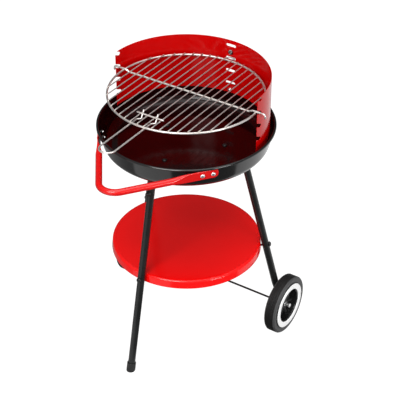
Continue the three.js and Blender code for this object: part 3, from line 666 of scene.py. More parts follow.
def shield_loops(step):
    """Outline, then the holes: a slot per level and two bolt holes, centred at the back."""
    edge_u = SHIELD_R * SHIELD_START * DEG
    right = [(edge_u, SHIELD_BOTTOM)]
    for level in range(LEVELS):
        right += notch(level, edge_u)
    left = [(SHIELD_R * math.pi - u, z) for u, z in right][::-1]

    def run(a, b, z):
        count = max(2, int(abs(b - a) / step))
        return [(a + (b - a) * j / count, z) for j in range(1, count)]

    outline = right + run(right[-1][0], left[0][0], SHIELD_TOP)
    outline += left + run(left[-1][0], right[0][0], SHIELD_BOTTOM)
    back_u = SHIELD_R * math.pi / 2
    end_r, flat = SLOT_H / 2, SLOT_W / 2 - SLOT_H / 2
    holes = []
    for level in range(LEVELS):
        z = SLOT_Z + level * LEVEL_PITCH
        holes.append(
            arc(back_u + flat, z, end_r, -90, 90, 11)
            + [(back_u + flat * (1 - 2 * j / 5), z + end_r) for j in range(1, 5)]
            + arc(back_u - flat, z, end_r, 90, 270, 11)
            + [(back_u - flat * (1 - 2 * j / 5), z - end_r) for j in range(1, 5)])
    holes += [arc(back_u, z, 3.3, 0, 340, 18) for z in SHIELD_BOLT_Z]
    return outline, holes


def shield_triangles(outline, holes, step):
    """Triangulate the flat sheet over its loops and an even grid of inner points."""
    points, edges = [], []
    for loop in [outline] + holes:
        base = len(points)
        points += loop
        edges += [(base + i, base + (i + 1) % len(loop)) for i in range(len(loop))]

    def on_sheet(candidates):
        keep = inside_loop(outline, candidates)
        for hole in holes:
            keep &= ~inside_loop(hole, candidates)
        return keep

    u0, u1 = SHIELD_R * SHIELD_START * DEG, SHIELD_R * (180 - SHIELD_START) * DEG
    grid = np.array([(u, z) for u in np.arange(u0 + step, u1 - step / 2, step)
                     for z in np.linspace(SHIELD_BOTTOM + 9, SHIELD_TOP - 9, 13)])
    border = np.array(points)
    clearance = np.array([np.min(np.hypot(*(border - q).T)) for q in grid])
    grid = grid[on_sheet(grid) & (clearance > 2.6)]
    vectors = [Vector(p) for p in points] + [Vector(p) for p in grid]
    result = geometry.delaunay_2d_cdt(vectors, edges, [], 0, 1e-5)
    flat = np.array([tuple(p) for p in result[0]])
    centres = np.array([flat[list(face)].mean(0) for face in result[2]])
    triangles = []
    for (a, b, c), keep in zip(result[2], on_sheet(centres)):
        if keep:
            ab, ac = flat[b] - flat[a], flat[c] - flat[a]
            counterclockwise = ab[0] * ac[1] - ab[1] * ac[0] > 0
            triangles.append((a, b, c) if counterclockwise else (a, c, b))
    return flat, triangles


def windshield():
    step = SHIELD_R * 1.5 * DEG
    flat, triangles = shield_triangles(*shield_loops(step), step)
    n = len(flat)
    azimuth = flat[:, 0] / SHIELD_R
    verts = np.concatenate([
        np.stack([r * np.cos(azimuth), r * np.sin(azimuth), flat[:, 1]], 1)
        for r in (SHIELD_R, SHIELD_R - SHIELD_T)])

    # outer and inner faces in pairs, then walls round every free edge
    faces, directed = [], {}
    for a, b, c in triangles:
        faces += [(a, b, c), (a + n, c + n, b + n)]
        directed.update(dict.fromkeys([(a, b), (b, c), (c, a)]))
    kinds = ["outer", "inner"] * len(triangles)
    for a, b in directed:
        if (b, a) not in directed:
            faces.append((b, a, a + n, b + n))
            kinds.append("wall")
    used = sorted({i for face in faces for i in face})
    new_index = {old: new for new, old in enumerate(used)}
    verts = verts[used]
    faces = [tuple(new_index[i] for i in face) for face in faces]
    sheet = make_piece("windshield", "sheet", (verts, faces), ["red_sheet"], None)

    # exact cylinder normals on both sides, flat ones on the cut edges
    mesh = sheet.data
    normals = []
    for polygon, kind in zip(mesh.polygons, kinds):
        polygon.use_smooth = True
        for loop in polygon.loop_indices:
            x, y, _ = verts[mesh.loops[loop].vertex_index]
            radial = unit([x, y, 0])
            normals.append({"outer": radial, "inner": -radial, "wall": polygon.normal}[kind])
    mesh.normals_split_custom_set([tuple(normal) for normal in normals])


# ------------------------------------------------------------------ wire grate
def grate_ring(n=220, section=20):
    angles = 2 * math.pi * np.arange(section) / section
    rings = []
    for k in range(n):
        a = 2 * math.pi * k / n
        out = np.array([math.cos(a), math.sin(a), 0])
        circle = np.cos(angles)[:, None] * out + np.sin(angles)[:, None] * UP
        rings.append(out * RING_R + np.array([0, 0, GRATE_Z]) + RING_WIRE_R * circle)
    return skin(rings, closed=True)


def grate():
    parts = [grate_ring()]
    weld_z = GRATE_Z + 3.0
    welds = []
    for k in range(GRID_COUNT):
        x = (k - (GRID_COUNT - 1) / 2) * GRID_PITCH
        if abs(x) < 19:         # the two middle wires are one loop, below
            continue
        y = math.sqrt(RING_R * RING_R - x * x) + 0.9
        path = densify([[x, -y, GRID_Z], [x, y, GRID_Z]], 12)
        parts.append(wire(path, GRID_WIRE_R, 14))
        welds += [(x, -(y - 0.9), weld_z), (x, y - 0.9, weld_z), (x, BAR_Y, weld_z)]

    # middle loop, reaching back past the ring as a tongue
    x = GRID_PITCH / 2
    half_loop = [(x, -RING_R - 0.6, GRID_Z), (x, RING_R + 2, GRID_Z),
                 (x, 196.5, GRATE_Z - 0.6), (x, 203.0, GRATE_Z - 0.6)]
    loop = [(-x, y, z) for x, y, z in half_loop] + half_loop[::-1]
    path = densify(bent(loop, [0, 6, 6, 4.5, 4.5, 6, 6, 0]), 12)
    parts.append(wire(path, GRID_WIRE_R, 14))
    for side in (-1, 1):
        welds += [(side * x, -RING_R, weld_z), (side * x, RING_R, weld_z),
                  (side * x, BAR_Y, weld_z)]

    # cross bar, stepping up over the ring and hooked down at its ends
    end_z = GRATE_Z + BAR_LIFT
    half_bar = [(BAR_END_X, BAR_Y, end_z - BAR_DROP), (BAR_END_X, BAR_Y, end_z),
                (178, BAR_Y, end_z), (169, BAR_Y, GRATE_Z)]
    bar = [(-x, y, z) for x, y, z in half_bar] + half_bar[::-1]
    parts.append(wire(densify(bent(bar, [0, 6, 9, 9, 9, 9, 6, 0]), 14), BAR_R))
    bar_welds = [(side * RING_R, BAR_Y, GRATE_Z + 2.4) for side in (-1, 1)]

    radii = [1.75] * len(welds) + [2.4] * len(bar_welds)
    welds += bar_welds
    for i, (weld, radius) in enumerate(zip(welds, radii)):
        parts.append(weld_bead(weld, radius * 1.15, radius * 1.15,
                               0.8 + 0.12 * math.sin(3.1 * i)))
    make_piece("cooking_grate", "wire", join(parts), ["chrome"], 60,
               body="grate", welds=welds)


def lifter():
    """Wire loop out to the front, with two hooked ends and a cross wire over the grid."""
    radius = 2.0
    left, right, jog = -30.4, 8.8, 8.0
    low_z, top_z = GRATE_Z - RING_WIRE_R - radius - GAP, GRATE_Z + 14
    front_y, jog_y, hook_y, hook_top_y = -313, -158.0, -151.0, -139.0
    points = [(left + jog, hook_top_y, top_z), (left + jog, hook_y, low_z),
              (left, jog_y, low_z), (left, front_y, low_z),
              (right, front_y, low_z), (right, jog_y, low_z),
              (right + jog, hook_y, low_z), (right + jog, hook_top_y, top_z)]
    loop = bent(points, [0, 3.5, 3.5, 18.5, 18.5, 3.5, 3.5, 0])
    cross_z = GRID_Z + GRID_WIRE_R + radius + GAP
    climb = (cross_z - low_z) / (top_z - low_z)
    cross_y = hook_y + (hook_top_y - hook_y) * climb - 3.9
    cross = [[-37, cross_y, cross_z], [37, cross_y, cross_z]]
    welds = [(x + jog, cross_y + 1.95, cross_z) for x in (left, right)]
    parts = [wire(densify(loop, 10), radius), wire(densify(cross, 10), radius)]
    parts += [weld_bead(weld, 2.2, 2.0, 1.7) for weld in welds]
    make_piece("grate_lifter", "wire", join(parts), ["chrome"], 60,
               body="lifter", welds=welds)


# ------------------------------------------------------------------ handle
def arm_frame(side):
    """Of the left (-1) or right (1) arm: direction to the back, level outward, wall normal."""
    angle = ARM_ANGLE * DEG
    along = np.array([side * math.sin(angle), math.cos(angle), 0])
    outward = np.array([side * math.cos(angle), -math.sin(angle), 0])
    return along, outward, outward * math.cos(CONE) - UP * math.sin(CONE)


def handle():
    n = 56
    press_start, press_end = 168.0, 216.0       # from round to flat

    def station(side, q):
        along, outward, _ = arm_frame(side)
        pressed = smooth((q - press_start) / (press_end - press_start))
        twist = CONE * pressed                  # the flat ends lie against the bowl wall
        out = outward * math.cos(twist) - UP * math.sin(twist)
        across = unit(np.cross(out, along * side))
        tip = tip_share(ARM_END - q, HANDLE_STRIP_W, 10.0)
        return pressed_ring(HANDLE_CORNER + along * q, across, out, pressed, tip,
                            HANDLE_TUBE_R, HANDLE_STRIP_W, n)

    stations = [ARM_END - x for x in TIP_STEPS] + [262, 250, 236, 225, press_end]
    stations += list(np.linspace(press_end - 2, press_start + 2, 20)) + [press_start]
    stations += list(np.linspace(press_start - 14, 60, 9))
    rings = [station(-1, q) for q in stations]
    bend_y = HANDLE_BEND_R / math.sin(ARM_ANGLE * DEG)
    centre = HANDLE_CORNER + np.array([0, bend_y, 0])
    for a in np.linspace(ARM_ANGLE - 180, -ARM_ANGLE, 40):
        out = polar(1, a, 0)
        rings.append(pressed_ring(centre + out * HANDLE_BEND_R, UP, out, 0.0, 1.0,
                                  HANDLE_TUBE_R, HANDLE_STRIP_W, n))
    rings += [station(1, q) for q in stations[::-1]]
    make_piece("bowl_handle", "tube", skin(rings), ["red_tube"], 55)


# ------------------------------------------------------------------ legs
def leg_frame(name):
    """Centreline point by height, outward normal, upward axis and level outward direction."""
    azimuth, ground_r, slope = LEGS[name]
    radial = polar(1, azimuth, 0)

    def at(z):
        return radial * (ground_r - slope * z) + UP * z

    return at, unit(radial + UP * slope), unit(UP - radial * slope), radial


def rear_leg_end(name):
    """Stations where a rear leg flattens and turns into an upright strip by the wheel."""
    at, outward, _, radial = leg_frame(name)
    side = math.copysign(1, radial[0])
    lean = LEGS[name][2] * radial[1]
    heights = list(np.linspace(138, 101, 16)) + [
        95, 85, 76.5, 74, 71.4, 69.2, 67.2, 65.6, 64.5, 63.7, 63.2, STRIP_BOTTOM]
    points, outs, shares = [], [], []
    for z in heights:
        share = smooth((136 - z) / 35)
        strip = np.array([side * STRIP_X, AXLE_Y - lean * (z - AXLE_Z), z])
        points.append(at(z) * (1 - share) + strip * share)
        outs.append(unit(outward * (1 - share) + np.array([side, 0, 0]) * share))
        shares.append(share)
    stations = []
    last = len(points) - 1
    for i, z in enumerate(heights):
        tangent = unit(points[min(i + 1, last)] - points[max(i - 1, 0)])
        across = unit(np.cross(outs[i], tangent))
        tip = tip_share(z - STRIP_BOTTOM, LEG_STRIP_W, 11.0)
        stations.append((points[i], across, outs[i], shares[i], tip, LEG_STRIP_W))
    return stations


def leg(name):
    at, outward, axis, radial = leg_frame(name)
    across = np.array([-radial[1], radial[0], 0])
    # each station: centre, across, outward, pressed share, tip share, pressed width
    stations = []

    # flat tab under the bowl
    centre, start, end, sweep, reach = fillet(at(TAB_Z), -radial, -axis, 9.0)
    tab_start = radial * TAB_START_R + UP * TAB_Z
    length = at(TAB_Z) @ radial - reach - TAB_START_R
    for x in TIP_STEPS + (13, 20, length * 0.7, length - 1):
        stations.append((tab_start + radial * x, across, UP, 1.0,
                         tip_share(x, TAB_W, 9.0), TAB_W))
    # bend down into the leg, still flat
    for k in range(13):
        offset = on_arc(start, end, sweep, k / 12)
        stations.append((centre + offset, across, unit(offset), 1.0, 1.0, TAB_W))
    # from flat to round
    bend_end = centre + end
    for q in np.linspace(3, 46, 16):
        pressed = 1 - smooth((q - 7) / 37)
        stations.append((bend_end - axis * q, across, outward, pressed, 1.0, TAB_W))
    # round tube, down to the foot cap or to the flattened end
    top = (bend_end - axis * 46)[2] - 20
    bottom, count = (5.6, 14) if name == "front" else (145, 10)
    for z in np.linspace(top, bottom, count):
        stations.append((at(z), across, outward, 0.0, 1.0, LEG_STRIP_W))
    if name != "front":
        stations += rear_leg_end(name)

    rings = [pressed_ring(*station[:5], LEG_TUBE_R, station[5], 48) for station in stations]
    make_piece(f"leg_{name}", "tube", skin(rings), ["leg"], 55)


# ------------------------------------------------------------------ fasteners
# Bolts and knobs stand on z = 0, head up and shank down.
SHANK_R = 3.0


def shank(length):
    profile = [(SHANK_R + 0.25, 0.0), (SHANK_R, -0.3)]
    z = -2.0
    while z > -length + 1.2:
        profile += [(SHANK_R, z), (SHANK_R - 0.32, z - 0.5)]
        z -= 1.0
    return profile + [(SHANK_R - 0.35, -length + 0.6), (SHANK_R - 0.9, -length), (0, -length)]


def dome_bolt(length, head_r=5.6, head_h=3.4):
    profile = [(0, head_h)]
    for a in np.linspace(80, 12, 9):
        profile.append((head_r * 0.97 * math.cos(a * DEG) ** 0.8,
                        0.5 + (head_h - 0.5) * math.sin(a * DEG)))
    profile += [(head_r, 0.6), (head_r, 0.25), (head_r - 0.25, 0.0)]
    return lathe(profile + shank(length), 40)


def cross_head_bolt(length, head_r, head_h):
    """Pan-head bolt with a pressed cross recess."""
    profile = [(head_r * k / 11, head_h * (1 - 0.1 * (k / 11) ** 2)) for k in range(11)]
    profile += [(head_r * 0.965, head_h * 0.8), (head_r, head_h * 0.55), (head_r, 0.25),
                (head_r - 0.25, 0.0)]
    verts, faces = lathe(profile + shank(length), 96)
    for vert in verts:
        if vert[2] > head_h * 0.85:
            near, far = sorted((abs(vert[0]), abs(vert[1])))
            depth = min(max((0.95 - near) / 0.35, 0), 1) * min(max((3.9 - far) / 0.6, 0), 1)
            vert[2] -= 1.6 * smooth(depth)
    return verts, faces


def knob(length):
    """Tapered knob on a plain shank."""
    return lathe([
        (0, 11.5), (1.6, 11.45), (2.9, 11.0), (3.7, 10.1), (4.1, 8.9), (4.6, 6.4), (5.4, 3.9),
        (6.3, 2.2), (6.75, 1.3), (6.8, 0.4), (6.5, 0.0), (SHANK_R + 0.2, 0.0),
        (SHANK_R, -0.3), (SHANK_R, -length + 0.6), (SHANK_R - 0.6, -length), (0, -length)], 40)


def hex_nut(thick=NUT_T, bore=3.3, n=72):
    """Nut from z = 0 up, its corners chamfered at both faces."""
    flat_r = 5.0
    corner_r = 2 * flat_r / math.sqrt(3)
    chamfer = 0.9
    angles = 2 * math.pi * np.arange(n) / n
    sixth = math.pi / 3
    hexagon = flat_r / np.cos(((angles + sixth / 2) % sixth) - sixth / 2)

    def ring(radius, z):
        return np.stack([radius * np.cos(angles), radius * np.sin(angles), np.full(n, z)], 1)

    rings = []
    steps = [chamfer * share for share in (0, 0.3, 0.6, 1)]
    for z in steps + [thick - step for step in steps[::-1]]:
        rise = min(min(z, thick - z) / chamfer, 1)
        limit = flat_r * 0.97 + (corner_r - flat_r * 0.97) * rise
        rings.append(ring(np.minimum(hexagon, limit), z))
    for z, radius in ((thick, bore + 0.5), (thick - 0.5, bore), (0.5, bore), (0, bore + 0.5)):
        rings.append(ring(radius, z))
    return skin(rings, closed=True)


def washer(inner_r, outer_r, thick):
    return lathe([
        (inner_r, 0.15), (inner_r + 0.15, 0), (outer_r - 0.25, 0), (outer_r, 0.25),
        (outer_r, thick - 0.25), (outer_r - 0.25, thick), (inner_r + 0.15, thick),
        (inner_r, thick - 0.15)], 56, closed=True)


# material and CAD slot of each finish
ZINC = ("zinc", "zinc_hardware")
# Zinc darkened as a painted reflection of dark surroundings; the CAD slot stays zinc.
ZINC_PAINTED_DARK_REFLECTION = ("zinc_dark_reflection", "zinc_hardware")
BLACK_STEEL = ("black_steel", "black_hardware")
BLACK_CAP = ("cap", "black_cap")


def fastener(node, part, origin, axis, finish=ZINC, side=None):
    material, slot = finish
    make_piece(node, "turned", put(part, origin, axis, side), [material], 40)


def handle_fasteners():
    for side_name, side in (("right", 1), ("left", -1)):
        along, _, normal = arm_frame(side)
        # place along the arm, gap to the nut
        for tag, q, gap in (("rear", 268.6, 4.6), ("front", 242.6, 8.0)):
            point = HANDLE_CORNER + along * q
            fastener(f"handle_bolt_{side_name}_{tag}",
                     dome_bolt(STRIP_T / 2 + gap + NUT_T + 2.2),
                     point + normal * (STRIP_T / 2 + GAP), normal)
            fastener(f"handle_nut_{side_name}_{tag}", hex_nut(),
                     point - normal * (gap + NUT_T), normal, BLACK_STEEL, side=along)


def shield_fasteners():
    lower, upper = SHIELD_BOLT_Z
    inside = SHIELD_R - SHIELD_T
    fastener("shield_bolt_lower", dome_bolt(20.0, 4.8, 2.6), (0, 210.6, lower), (0, 1, 0))
    fastener("shield_nut_lower", hex_nut(), (0, inside - 0.35 - NUT_T, lower), (0, 1, 0))
    fastener("shield_bolt_upper", cross_head_bolt(8.8, 6.6, 3.8),
             (0, inside - 0.4, upper), (0, -1, 0), ZINC_PAINTED_DARK_REFLECTION)
    fastener("shield_nut_upper", hex_nut(), (0, SHIELD_R + 0.35, upper), (0, 1, 0))


def leg_fasteners(name):
    at, outward, _, _ = leg_frame(name)
    azimuth = LEGS[name][0]
    tab_bolt_r, screw_z, shelf_bolt_z = 93, 480.0, 253.5
    shelf_nut_depth = 22.4 if name == "front" else 19.9
    surface = outward * (LEG_TUBE_R + GAP)
    fastener(f"leg_bolt_{name}", dome_bolt(14, 6.4, 3.6),
             polar(tab_bolt_r, azimuth, FLOOR_Z + BOWL_SHEET + GAP), UP, BLACK_STEEL)
    fastener(f"leg_nut_{name}", hex_nut(),
             polar(tab_bolt_r, azimuth, TAB_Z - STRIP_T / 2 - GAP - NUT_T), UP, BLACK_STEEL)
    if name == "front":
        fastener("leg_screw_front", knob(16.0), at(screw_z) + surface, outward, BLACK_CAP)
    fastener(f"shelf_bolt_{name}", dome_bolt(34.5, 6.6, 4.6),
             at(shelf_bolt_z) + surface, outward, BLACK_CAP)
    fastener(f"shelf_nut_{name}", hex_nut(),
             at(shelf_bolt_z) - outward * shelf_nut_depth, outward)


# ------------------------------------------------------------------ foot cap and shelf
def foot_cap():
    """Ribbed cap on the front leg, cut level where it meets the ground."""
    at, outward, axis, _ = leg_frame("front")
    base = at(0.0)
    frame = basis(axis, outward)
    angles = 2 * math.pi * np.arange(96) / 96
    rib_h, rib_count, height = 0.28, 24, 23.0
    ribs = rib_h * np.clip(np.cos(rib_count * angles) * 3, -1, 1)
    # radius, height, share of ribbing, measured level from the ground instead of along the axis
    table = [
        (9.9, 0.0, 0, True), (10.6, 0.0, 0, True), (11.0, 0.3, 0, True), (11.2, 1.0, 0, True),
        (11.2, 4.6, 0, False), (11.2, 5.2, 1, False), (11.2, 17.0, 1, False),
        (11.2, 17.6, 0, False), (11.2, height - 1.1, 0, False), (11.05, height - 0.5, 0, False),
        (10.7, height, 0, False), (9.9, height, 0, False), (9.8, height - 0.4, 0, False),
        (9.8, 5.6, 0, False), (9.6, 5.4, 0, False)]
    rings = []
    for radius, rise, ribbed, level in table:
        r = (radius + ribbed * (ribs - rib_h))[:, None]
        offset = r * (np.cos(angles)[:, None] * frame[:, 0]
                      + np.sin(angles)[:, None] * frame[:, 1])
        if level:
            rise = ((rise - offset[:, 2] - base[2]) / axis[2])[:, None]
        rings.append(base + offset + rise * axis)
    make_piece("foot_cap", "moulded", skin(rings), ["cap"], 50)


def shelf():
    """Round tray, open downwards, with a rolled-down edge."""
    top, sheet = SHELF_Z, 1
    flat_radii = (0, 60, 120, 160, 175)
    corner_x, corner_r = 181.8, 6.5
    corner_z = top - corner_r
    profile = [(r, top) for r in flat_radii]
    profile += arc(corner_x, corner_z, corner_r, 90, 12, 10)
    profile += [(188.5, top - 9.0), (189.1, top - 14.5), (189.8, top - 21.1),
                (189.7, top - 21.45), (189.3, top - 21.5), (188.9, top - 21.4),
                (188.1, top - 14.5), (187.5, top - 9.0)]
    profile += arc(corner_x, corner_z, corner_r - sheet, 12, 90, 8)
    profile += [(r, top - sheet) for r in flat_radii[::-1]]
    make_piece("shelf", "pan", lathe(profile, 220), ["red_shelf"], 45)


# ------------------------------------------------------------------ axle and wheels
def axle():
    half = [(0, -AXLE_END), (AXLE_R - 0.6, -AXLE_END), (AXLE_R - 0.1, -AXLE_END + 0.6)]
    x = -AXLE_END + 1.4
    while x < -AXLE_END + 14:   # thread
        half += [(AXLE_R, x), (AXLE_R - 0.3, x + 0.4)]
        x += 0.8
    half.append((AXLE_R, x + 0.5))
    profile = half + [(AXLE_R, x) for x in np.linspace(-200, 200, 9)]
    profile += [(r, -x) for r, x in half[::-1]]
    verts, faces = put(lathe(profile, 36), (0, AXLE_Y, AXLE_Z), (1, 0, 0))
    plated_x = 239.5            # the ends beyond are zinc
    ends = [int(max(abs(verts[i][0]) for i in face) > plated_x) for face in faces]
    make_piece("axle", "rod", (verts, faces), ["black_steel", "zinc"], 50,
               face_materials=ends)


# Wheel parts are turned about Z, with z standing for the distance out from the grill's middle.
def tyre_part():
    """Tyre mesh and a material index per face: 0 tread, 1 sidewall, whose rubber is lightened
    as painted sheen.
    """
    n = 288
    middle = (WHEEL_IN + WHEEL_OUT) / 2
    # radius, depth in from the wheel face
    sidewall = [
        (62.2, 1.0), (63.0, 0.45), (64.2, 0.15), (64.9, 0.5), (65.4, 0.75), (66.4, 0.7),
        (69.0, 0.35), (71.2, 0.2), (71.9, 0.0), (73.2, 0.0), (73.9, 0.3), (75.0, 0.9),
        (76.0, 1.8), (76.8, 2.9), (77.3, 4.0)]
    bore = [(62.2, WHEEL_IN + 1.0), (62.0, WHEEL_IN + 2), (62.0, WHEEL_OUT - 2)]
    half_tread = WHEEL_W / 2 - 4.2
    tread = [(WHEEL_R, middle + x) for x in np.linspace(half_tread, -half_tread, 45)]
    profile = bore + [(r, WHEEL_OUT - depth) for r, depth in sidewall] + tread
    profile += [(r, WHEEL_IN + depth) for r, depth in sidewall[::-1]]
    profile.append((62.2, WHEEL_OUT - 1.0))     # a straight liner closes the loop
    tread_start = len(bore) + len(sidewall)
    tread_end = tread_start + len(tread)
    groove_x = (-7.4, -2.6, 2.6, 7.4)

    def tread_depth(angle, z, i):
        if not tread_start <= i < tread_end:
            return 0.0
        x = z - middle
        groove = max(0.0, 1 - min(abs(x - g) for g in groove_x) / 0.75)
        # short slanted cuts between the grooves and along both shoulders
        phase = (angle / (2 * math.pi) * 72) % 1.0
        lane = 0.0 if abs(x) < 2.6 else (0.33 if abs(x) < 7.4 else 0.66)
        slant = x * 0.045 * (1 if x > 0 else -1)
        q = abs(((phase + lane + slant) % 1.0) - 0.5)
        cut = 1.0 if q < 0.13 else max(0.0, 1 - (q - 0.13) / 0.09)
        if abs(x) < 2.2:
            cut *= 0.35
        return -0.85 * max(groove, 0.75 * cut)

    part = lathe(profile, n, closed=True, offset=tread_depth)
    first, stop = (tread_start - 1) * n, (tread_end + 1) * n
    return part, [0 if min(f) >= first and max(f) < stop else 1 for f in part[1]]


def spoke(angle):
    """Raised bar on the web from the boss to the rim."""
    base, edge = WHEEL_IN + 6.4, 0.8
    rings = []
    for q in np.linspace(0, 1, 14):
        r = 7.6 + q * (44.2 - 7.6)
        half = (5.2 - 0.9 * q) / 2
        top = WHEEL_IN + 17.4 - 1.6 * math.sin(math.pi * q) - 1.2 * q
        left = [(-half - 0.5, base), (-half, base + 1.0), (-half, top - edge),
                (-half + edge * 0.3, top - edge * 0.3), (-half + edge, top)]
        section = left + [(-y, z) for y, z in left[::-1]]
        rings.append([(r * math.cos(angle) - y * math.sin(angle),
                       r * math.sin(angle) + y * math.cos(angle), z) for y, z in section])
    return skin(rings)


def hub_part():
    """Hub mesh and a material index per face: 0 hub, 1 spokes, whose plastic is lightened as
    painted highlight.
    """
    inner, outer = WHEEL_IN, WHEEL_OUT
    profile = [
        # rim, outer side
        (61.7, inner + 2.3), (61.7, outer - 1.6), (61.5, outer - 1.0), (60.9, outer + 0.1),
        (60.5, outer + 0.4), (46.0, outer + 0.4), (45.2, outer + 0.2), (44.4, outer - 0.5),
        (43.8, outer - 1.6), (43.6, outer - 3.0), (43.6, inner + 8.2), (43.2, inner + 7.3),
        (42.3, inner + 6.6),
        # web, down to the boss
        (30, inner + 6.6), (20, inner + 6.9), (11.2, inner + 7.4), (9.9, inner + 8.0),
        (9.1, inner + 9.2), (8.6, outer - 13.0), (8.1, outer - 12.3), (7.4, outer - 12.0),
        # bore
        (3.2, outer - 12.0), (2.9, outer - 12.4), (2.9, inner - 0.1), (3.2, inner - 0.5),
        (8.4, inner - 0.5), (9.0, inner + 0.1), (9.0, inner + 3.6), (10.0, inner + 4.0),
        # back of the web and inside of the rim
        (20, inner + 4.1), (30, inner + 4.1), (46.2, inner + 4.1), (46.2, outer - 2.8),
        (58.7, outer - 2.8), (58.7, inner + 2.3), (59.2, inner + 2.0), (61.2, inner + 2.0)]
    turned = lathe(profile, 160, closed=True)
    part = join([turned] + [spoke((22.5 + 45 * k) * DEG) for k in range(8)])
    plain = len(turned[1])
    return part, [0] * plain + [1] * (len(part[1]) - plain)


def trim_part():
    # radius, height over the outer wheel face
    profile = [
        (45.8, 0.7), (60.1, 0.7), (60.4, 0.9), (60.4, 1.6), (60.0, 2.1), (59.0, 2.25),
        (53, 2.4), (47.8, 2.25), (46.8, 2.05), (46.1, 1.6), (45.8, 1.1)]
    return lathe([(r, WHEEL_OUT + z) for r, z in profile], 200, closed=True)


def axle_nut_part():
    """Nut with a grooved collar on its inner side."""
    bore = AXLE_R + GAP
    collar = lathe([
        (bore, 0.3), (bore + 0.3, 0), (3.6, 0), (3.9, 0.3), (3.9, 6.6), (3.7, 7.0),
        (3.7, 7.8), (3.9, 8.3), (bore, 8.3)], 40, closed=True)
    verts, faces = hex_nut(4.6, bore)
    return join([collar, (verts + np.array([0, 0, 8.0]), faces)])


def wheels():
    tyre, tyre_materials = tyre_part()
    hub, hub_materials = hub_part()
    trim = trim_part()
    for side_name, side in (("right", 1), ("left", -1)):
        body = f"wheel_{side_name}"
        centre, axis = (0, AXLE_Y, AXLE_Z), (side, 0, 0)
        make_piece(f"{body}_tyre", "moulded", put(tyre, centre, axis),
                   ["tread", "sidewall"], 34, body=body, face_materials=tyre_materials)
        make_piece(f"{body}_hub", "moulded", put(hub, centre, axis),
                   ["hub", "spoke"], 42, body=body, face_materials=hub_materials)
        make_piece(f"{body}_trim_ring", "moulded", put(trim, centre, axis),
                   ["white"], 40, body=body)
        for node, part, x in (
                ("inner_washer", washer(AXLE_R + GAP, 8, 1.4), STRIP_X + STRIP_T / 2 + GAP),
                ("outer_washer", washer(AXLE_R + GAP, 5.6, 1.5), WHEEL_OUT - 11.7),
                ("axle_nut", axle_nut_part(), WHEEL_OUT - 9.9)):
            fastener(f"{node}_{side_name}", part, (side * x, AXLE_Y, AXLE_Z), axis)


# ------------------------------------------------------------------ studio
# Painted reflections, the floor's glow seen only in reflections: (share of a turn, value),
# counterclockwise from above, starting at -X, so 0.25 is the front and 0.5 the right
PAINTED_FLOOR_REFLECTIONS = [
    (0.0, 0.3), (0.136, 0.25), (0.142, 0.86), (0.286, 0.86), (0.291, 0.12), (0.533, 0.14),
    (0.538, 0.95), (0.7639, 1.0), (0.78, 0.4), (1.0, 0.3)]


def floor_material():
    """White paper that shows even to the camera, and glows in reflections as painted grey
    cards.
    """
    material, nodes = new_material("studio_floor_paper")
    black = (0.0, 0.0, 0.0)
    cloud = nodes.noise(nodes.object_coords(), scale=3.0, detail=2)
    paper = nodes.mix_color(nodes.remap(cloud, low=0, high=1),
                            (0.93, 0.93, 0.93), (0.95, 0.95, 0.95))
    # darken the paper where emission stands in for it
    color = nodes.mix_color(nodes.by_ray(camera=0.0, glossy=1.0, other=0.62), paper, black)
    color = nodes.mix_color(nodes.by_ray(camera=0.82, glossy=0.0, other=0.0), color, black)
    shader = nodes.new("BsdfPrincipled", {
        "Base Color": color, "Roughness": 0.9, "Specular IOR Level": 0.1})

    position = nodes.new("NewGeometry").outputs["Position"]
    split = nodes.new("SeparateXYZ", {0: position})
    y = nodes.math("SUBTRACT", split.outputs[1], BOWL_AXIS_Y / 1000)
    azimuth = nodes.math("ARCTAN2", y, split.outputs[0])
    turn = nodes.math("ADD", nodes.math("DIVIDE", azimuth, 2 * math.pi), 0.5)
    # Painted reflections: the floor glows in glossy rays by azimuth round the bowl.
    painted_reflections = nodes.ramp(turn, PAINTED_FLOOR_REFLECTIONS)
    glow = nodes.new("Emission", {
        "Strength": nodes.by_ray(camera=0.965, glossy=painted_reflections, other=0.0)})
    both = nodes.new("AddShader", {0: shader.outputs[0], 1: glow.outputs[0]})
    nodes.new("OutputMaterial", {0: both.outputs[0]})
    return material


def studio_floor():
    mesh = bpy.data.meshes.new("floor")
    bm = bmesh.new()
    bmesh.ops.create_grid(bm, x_segments=8, y_segments=8, size=9.0)
    bm.to_mesh(mesh)
    bm.free()
    floor = bpy.data.objects.new("studio_floor", mesh)
    bpy.context.scene.collection.objects.link(floor)
    mesh.materials.append(floor_material())


def studio_world():
    """Room tone: brighter overhead and on the camera side, dim low behind the grill."""
    world = bpy.data.worlds.new("studio")
    bpy.context.scene.world = world
    world.use_nodes = True
    nodes = Nodes(world.node_tree)
    away_x, away_y = -0.556, 0.831      # level direction away from the camera
    bounce_share = 0.8                  # of the room tone, for bounced light
    split = nodes.new("SeparateXYZ", {0: nodes.new("TexCoord").outputs["Generated"]})
    away = nodes.math("ADD", nodes.math("MULTIPLY", split.outputs[0], away_x),
                      nodes.math("MULTIPLY", split.outputs[1], away_y))
    side_tone = nodes.remap(away, low=0.55, high=0.12, source_low=-0.6, source_high=0.6)
    top_tone = nodes.remap(split.outputs[2], low=0.0, high=0.5,
                           source_low=0.6, source_high=0.97)
    tone = nodes.math("ADD", side_tone, top_tone)
    strength = nodes.by_ray(camera=1.0, glossy=tone,
                            other=nodes.math("MULTIPLY", tone, bounce_share))
    background = nodes.new("Background", {"Color": (1, 1, 1), "Strength": strength})
    nodes.new("OutputWorld", {0: background.outputs[0]})


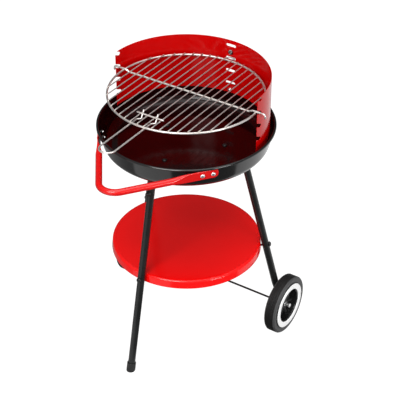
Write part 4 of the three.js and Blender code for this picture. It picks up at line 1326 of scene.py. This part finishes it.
def softbox(name, location, target, size, power):
    """Square area light; metres and watts."""
    light = bpy.data.lights.new(name, "AREA")
    light.energy = power
    light.size = size
    box = bpy.data.objects.new(name, light)
    box.location = location
    aim = Vector(target) - Vector(location)
    box.rotation_euler = aim.to_track_quat("-Z", "Y").to_euler()
    bpy.context.scene.collection.objects.link(box)


def camera():
    """Camera on an orbit round a point on the bowl axis, then turned a little off it."""
    elevation, azimuth, distance = 34.88489 * DEG, 33.75997 * DEG, 3088.609
    target = np.array([0, 0, 360.35934])
    yaw, pitch, roll = 0.6150434 * DEG, 0.161639 * DEG, -0.2328465 * DEG
    outward = np.array([math.sin(azimuth) * math.cos(elevation),
                        -math.cos(azimuth) * math.cos(elevation), math.sin(elevation)])
    position = target + outward * distance
    forward = -outward
    right = unit(np.cross(forward, [0, 0, 1]))
    up = np.cross(right, forward)
    forward = forward * math.cos(yaw) + right * math.sin(yaw)
    right = unit(np.cross(forward, up))
    up = np.cross(right, forward)
    forward = forward * math.cos(pitch) + up * math.sin(pitch)
    up = np.cross(right, forward)
    right = right * math.cos(roll) + up * math.sin(roll)
    up = np.cross(right, forward)

    data = bpy.data.cameras.new("camera")
    data.sensor_fit = "HORIZONTAL"
    data.sensor_width = 36.0
    data.lens = 111.533661
    data.clip_end = 50
    view = bpy.data.objects.new("camera", data)
    bpy.context.scene.collection.objects.link(view)
    place = (position + np.array([0, BOWL_AXIS_Y, 0])) / 1000
    rows = [(right[i], up[i], -forward[i], place[i]) for i in range(3)]
    view.matrix_world = Matrix(rows + [(0, 0, 0, 1)])
    bpy.context.scene.camera = view


# ------------------------------------------------------------------ build
bowl()
windshield()
grate()
lifter()
handle()
for leg_name in LEGS:
    leg(leg_name)
handle_fasteners()
shield_fasteners()
for leg_name in LEGS:
    leg_fasteners(leg_name)
foot_cap()
shelf()
axle()
wheels()

studio_floor()
studio_world()
softbox("key_softbox", location=(0.35, -2.5, 2.5), target=(0, 0, 0.35), size=1.7, power=84)
softbox("top_softbox", location=(0.2, 0.0, 3.4), target=(0, 0, 0.3), size=2.6, power=44)
softbox("side_softbox", location=(2.8, -0.7, 0.8), target=(0.25, 0.1, 0.1), size=1.0, power=34)
camera()
bpy.context.scene.view_settings.view_transform = "Standard"
bpy.context.scene.view_settings.look = "None"

bpy.context.view_layer.update()
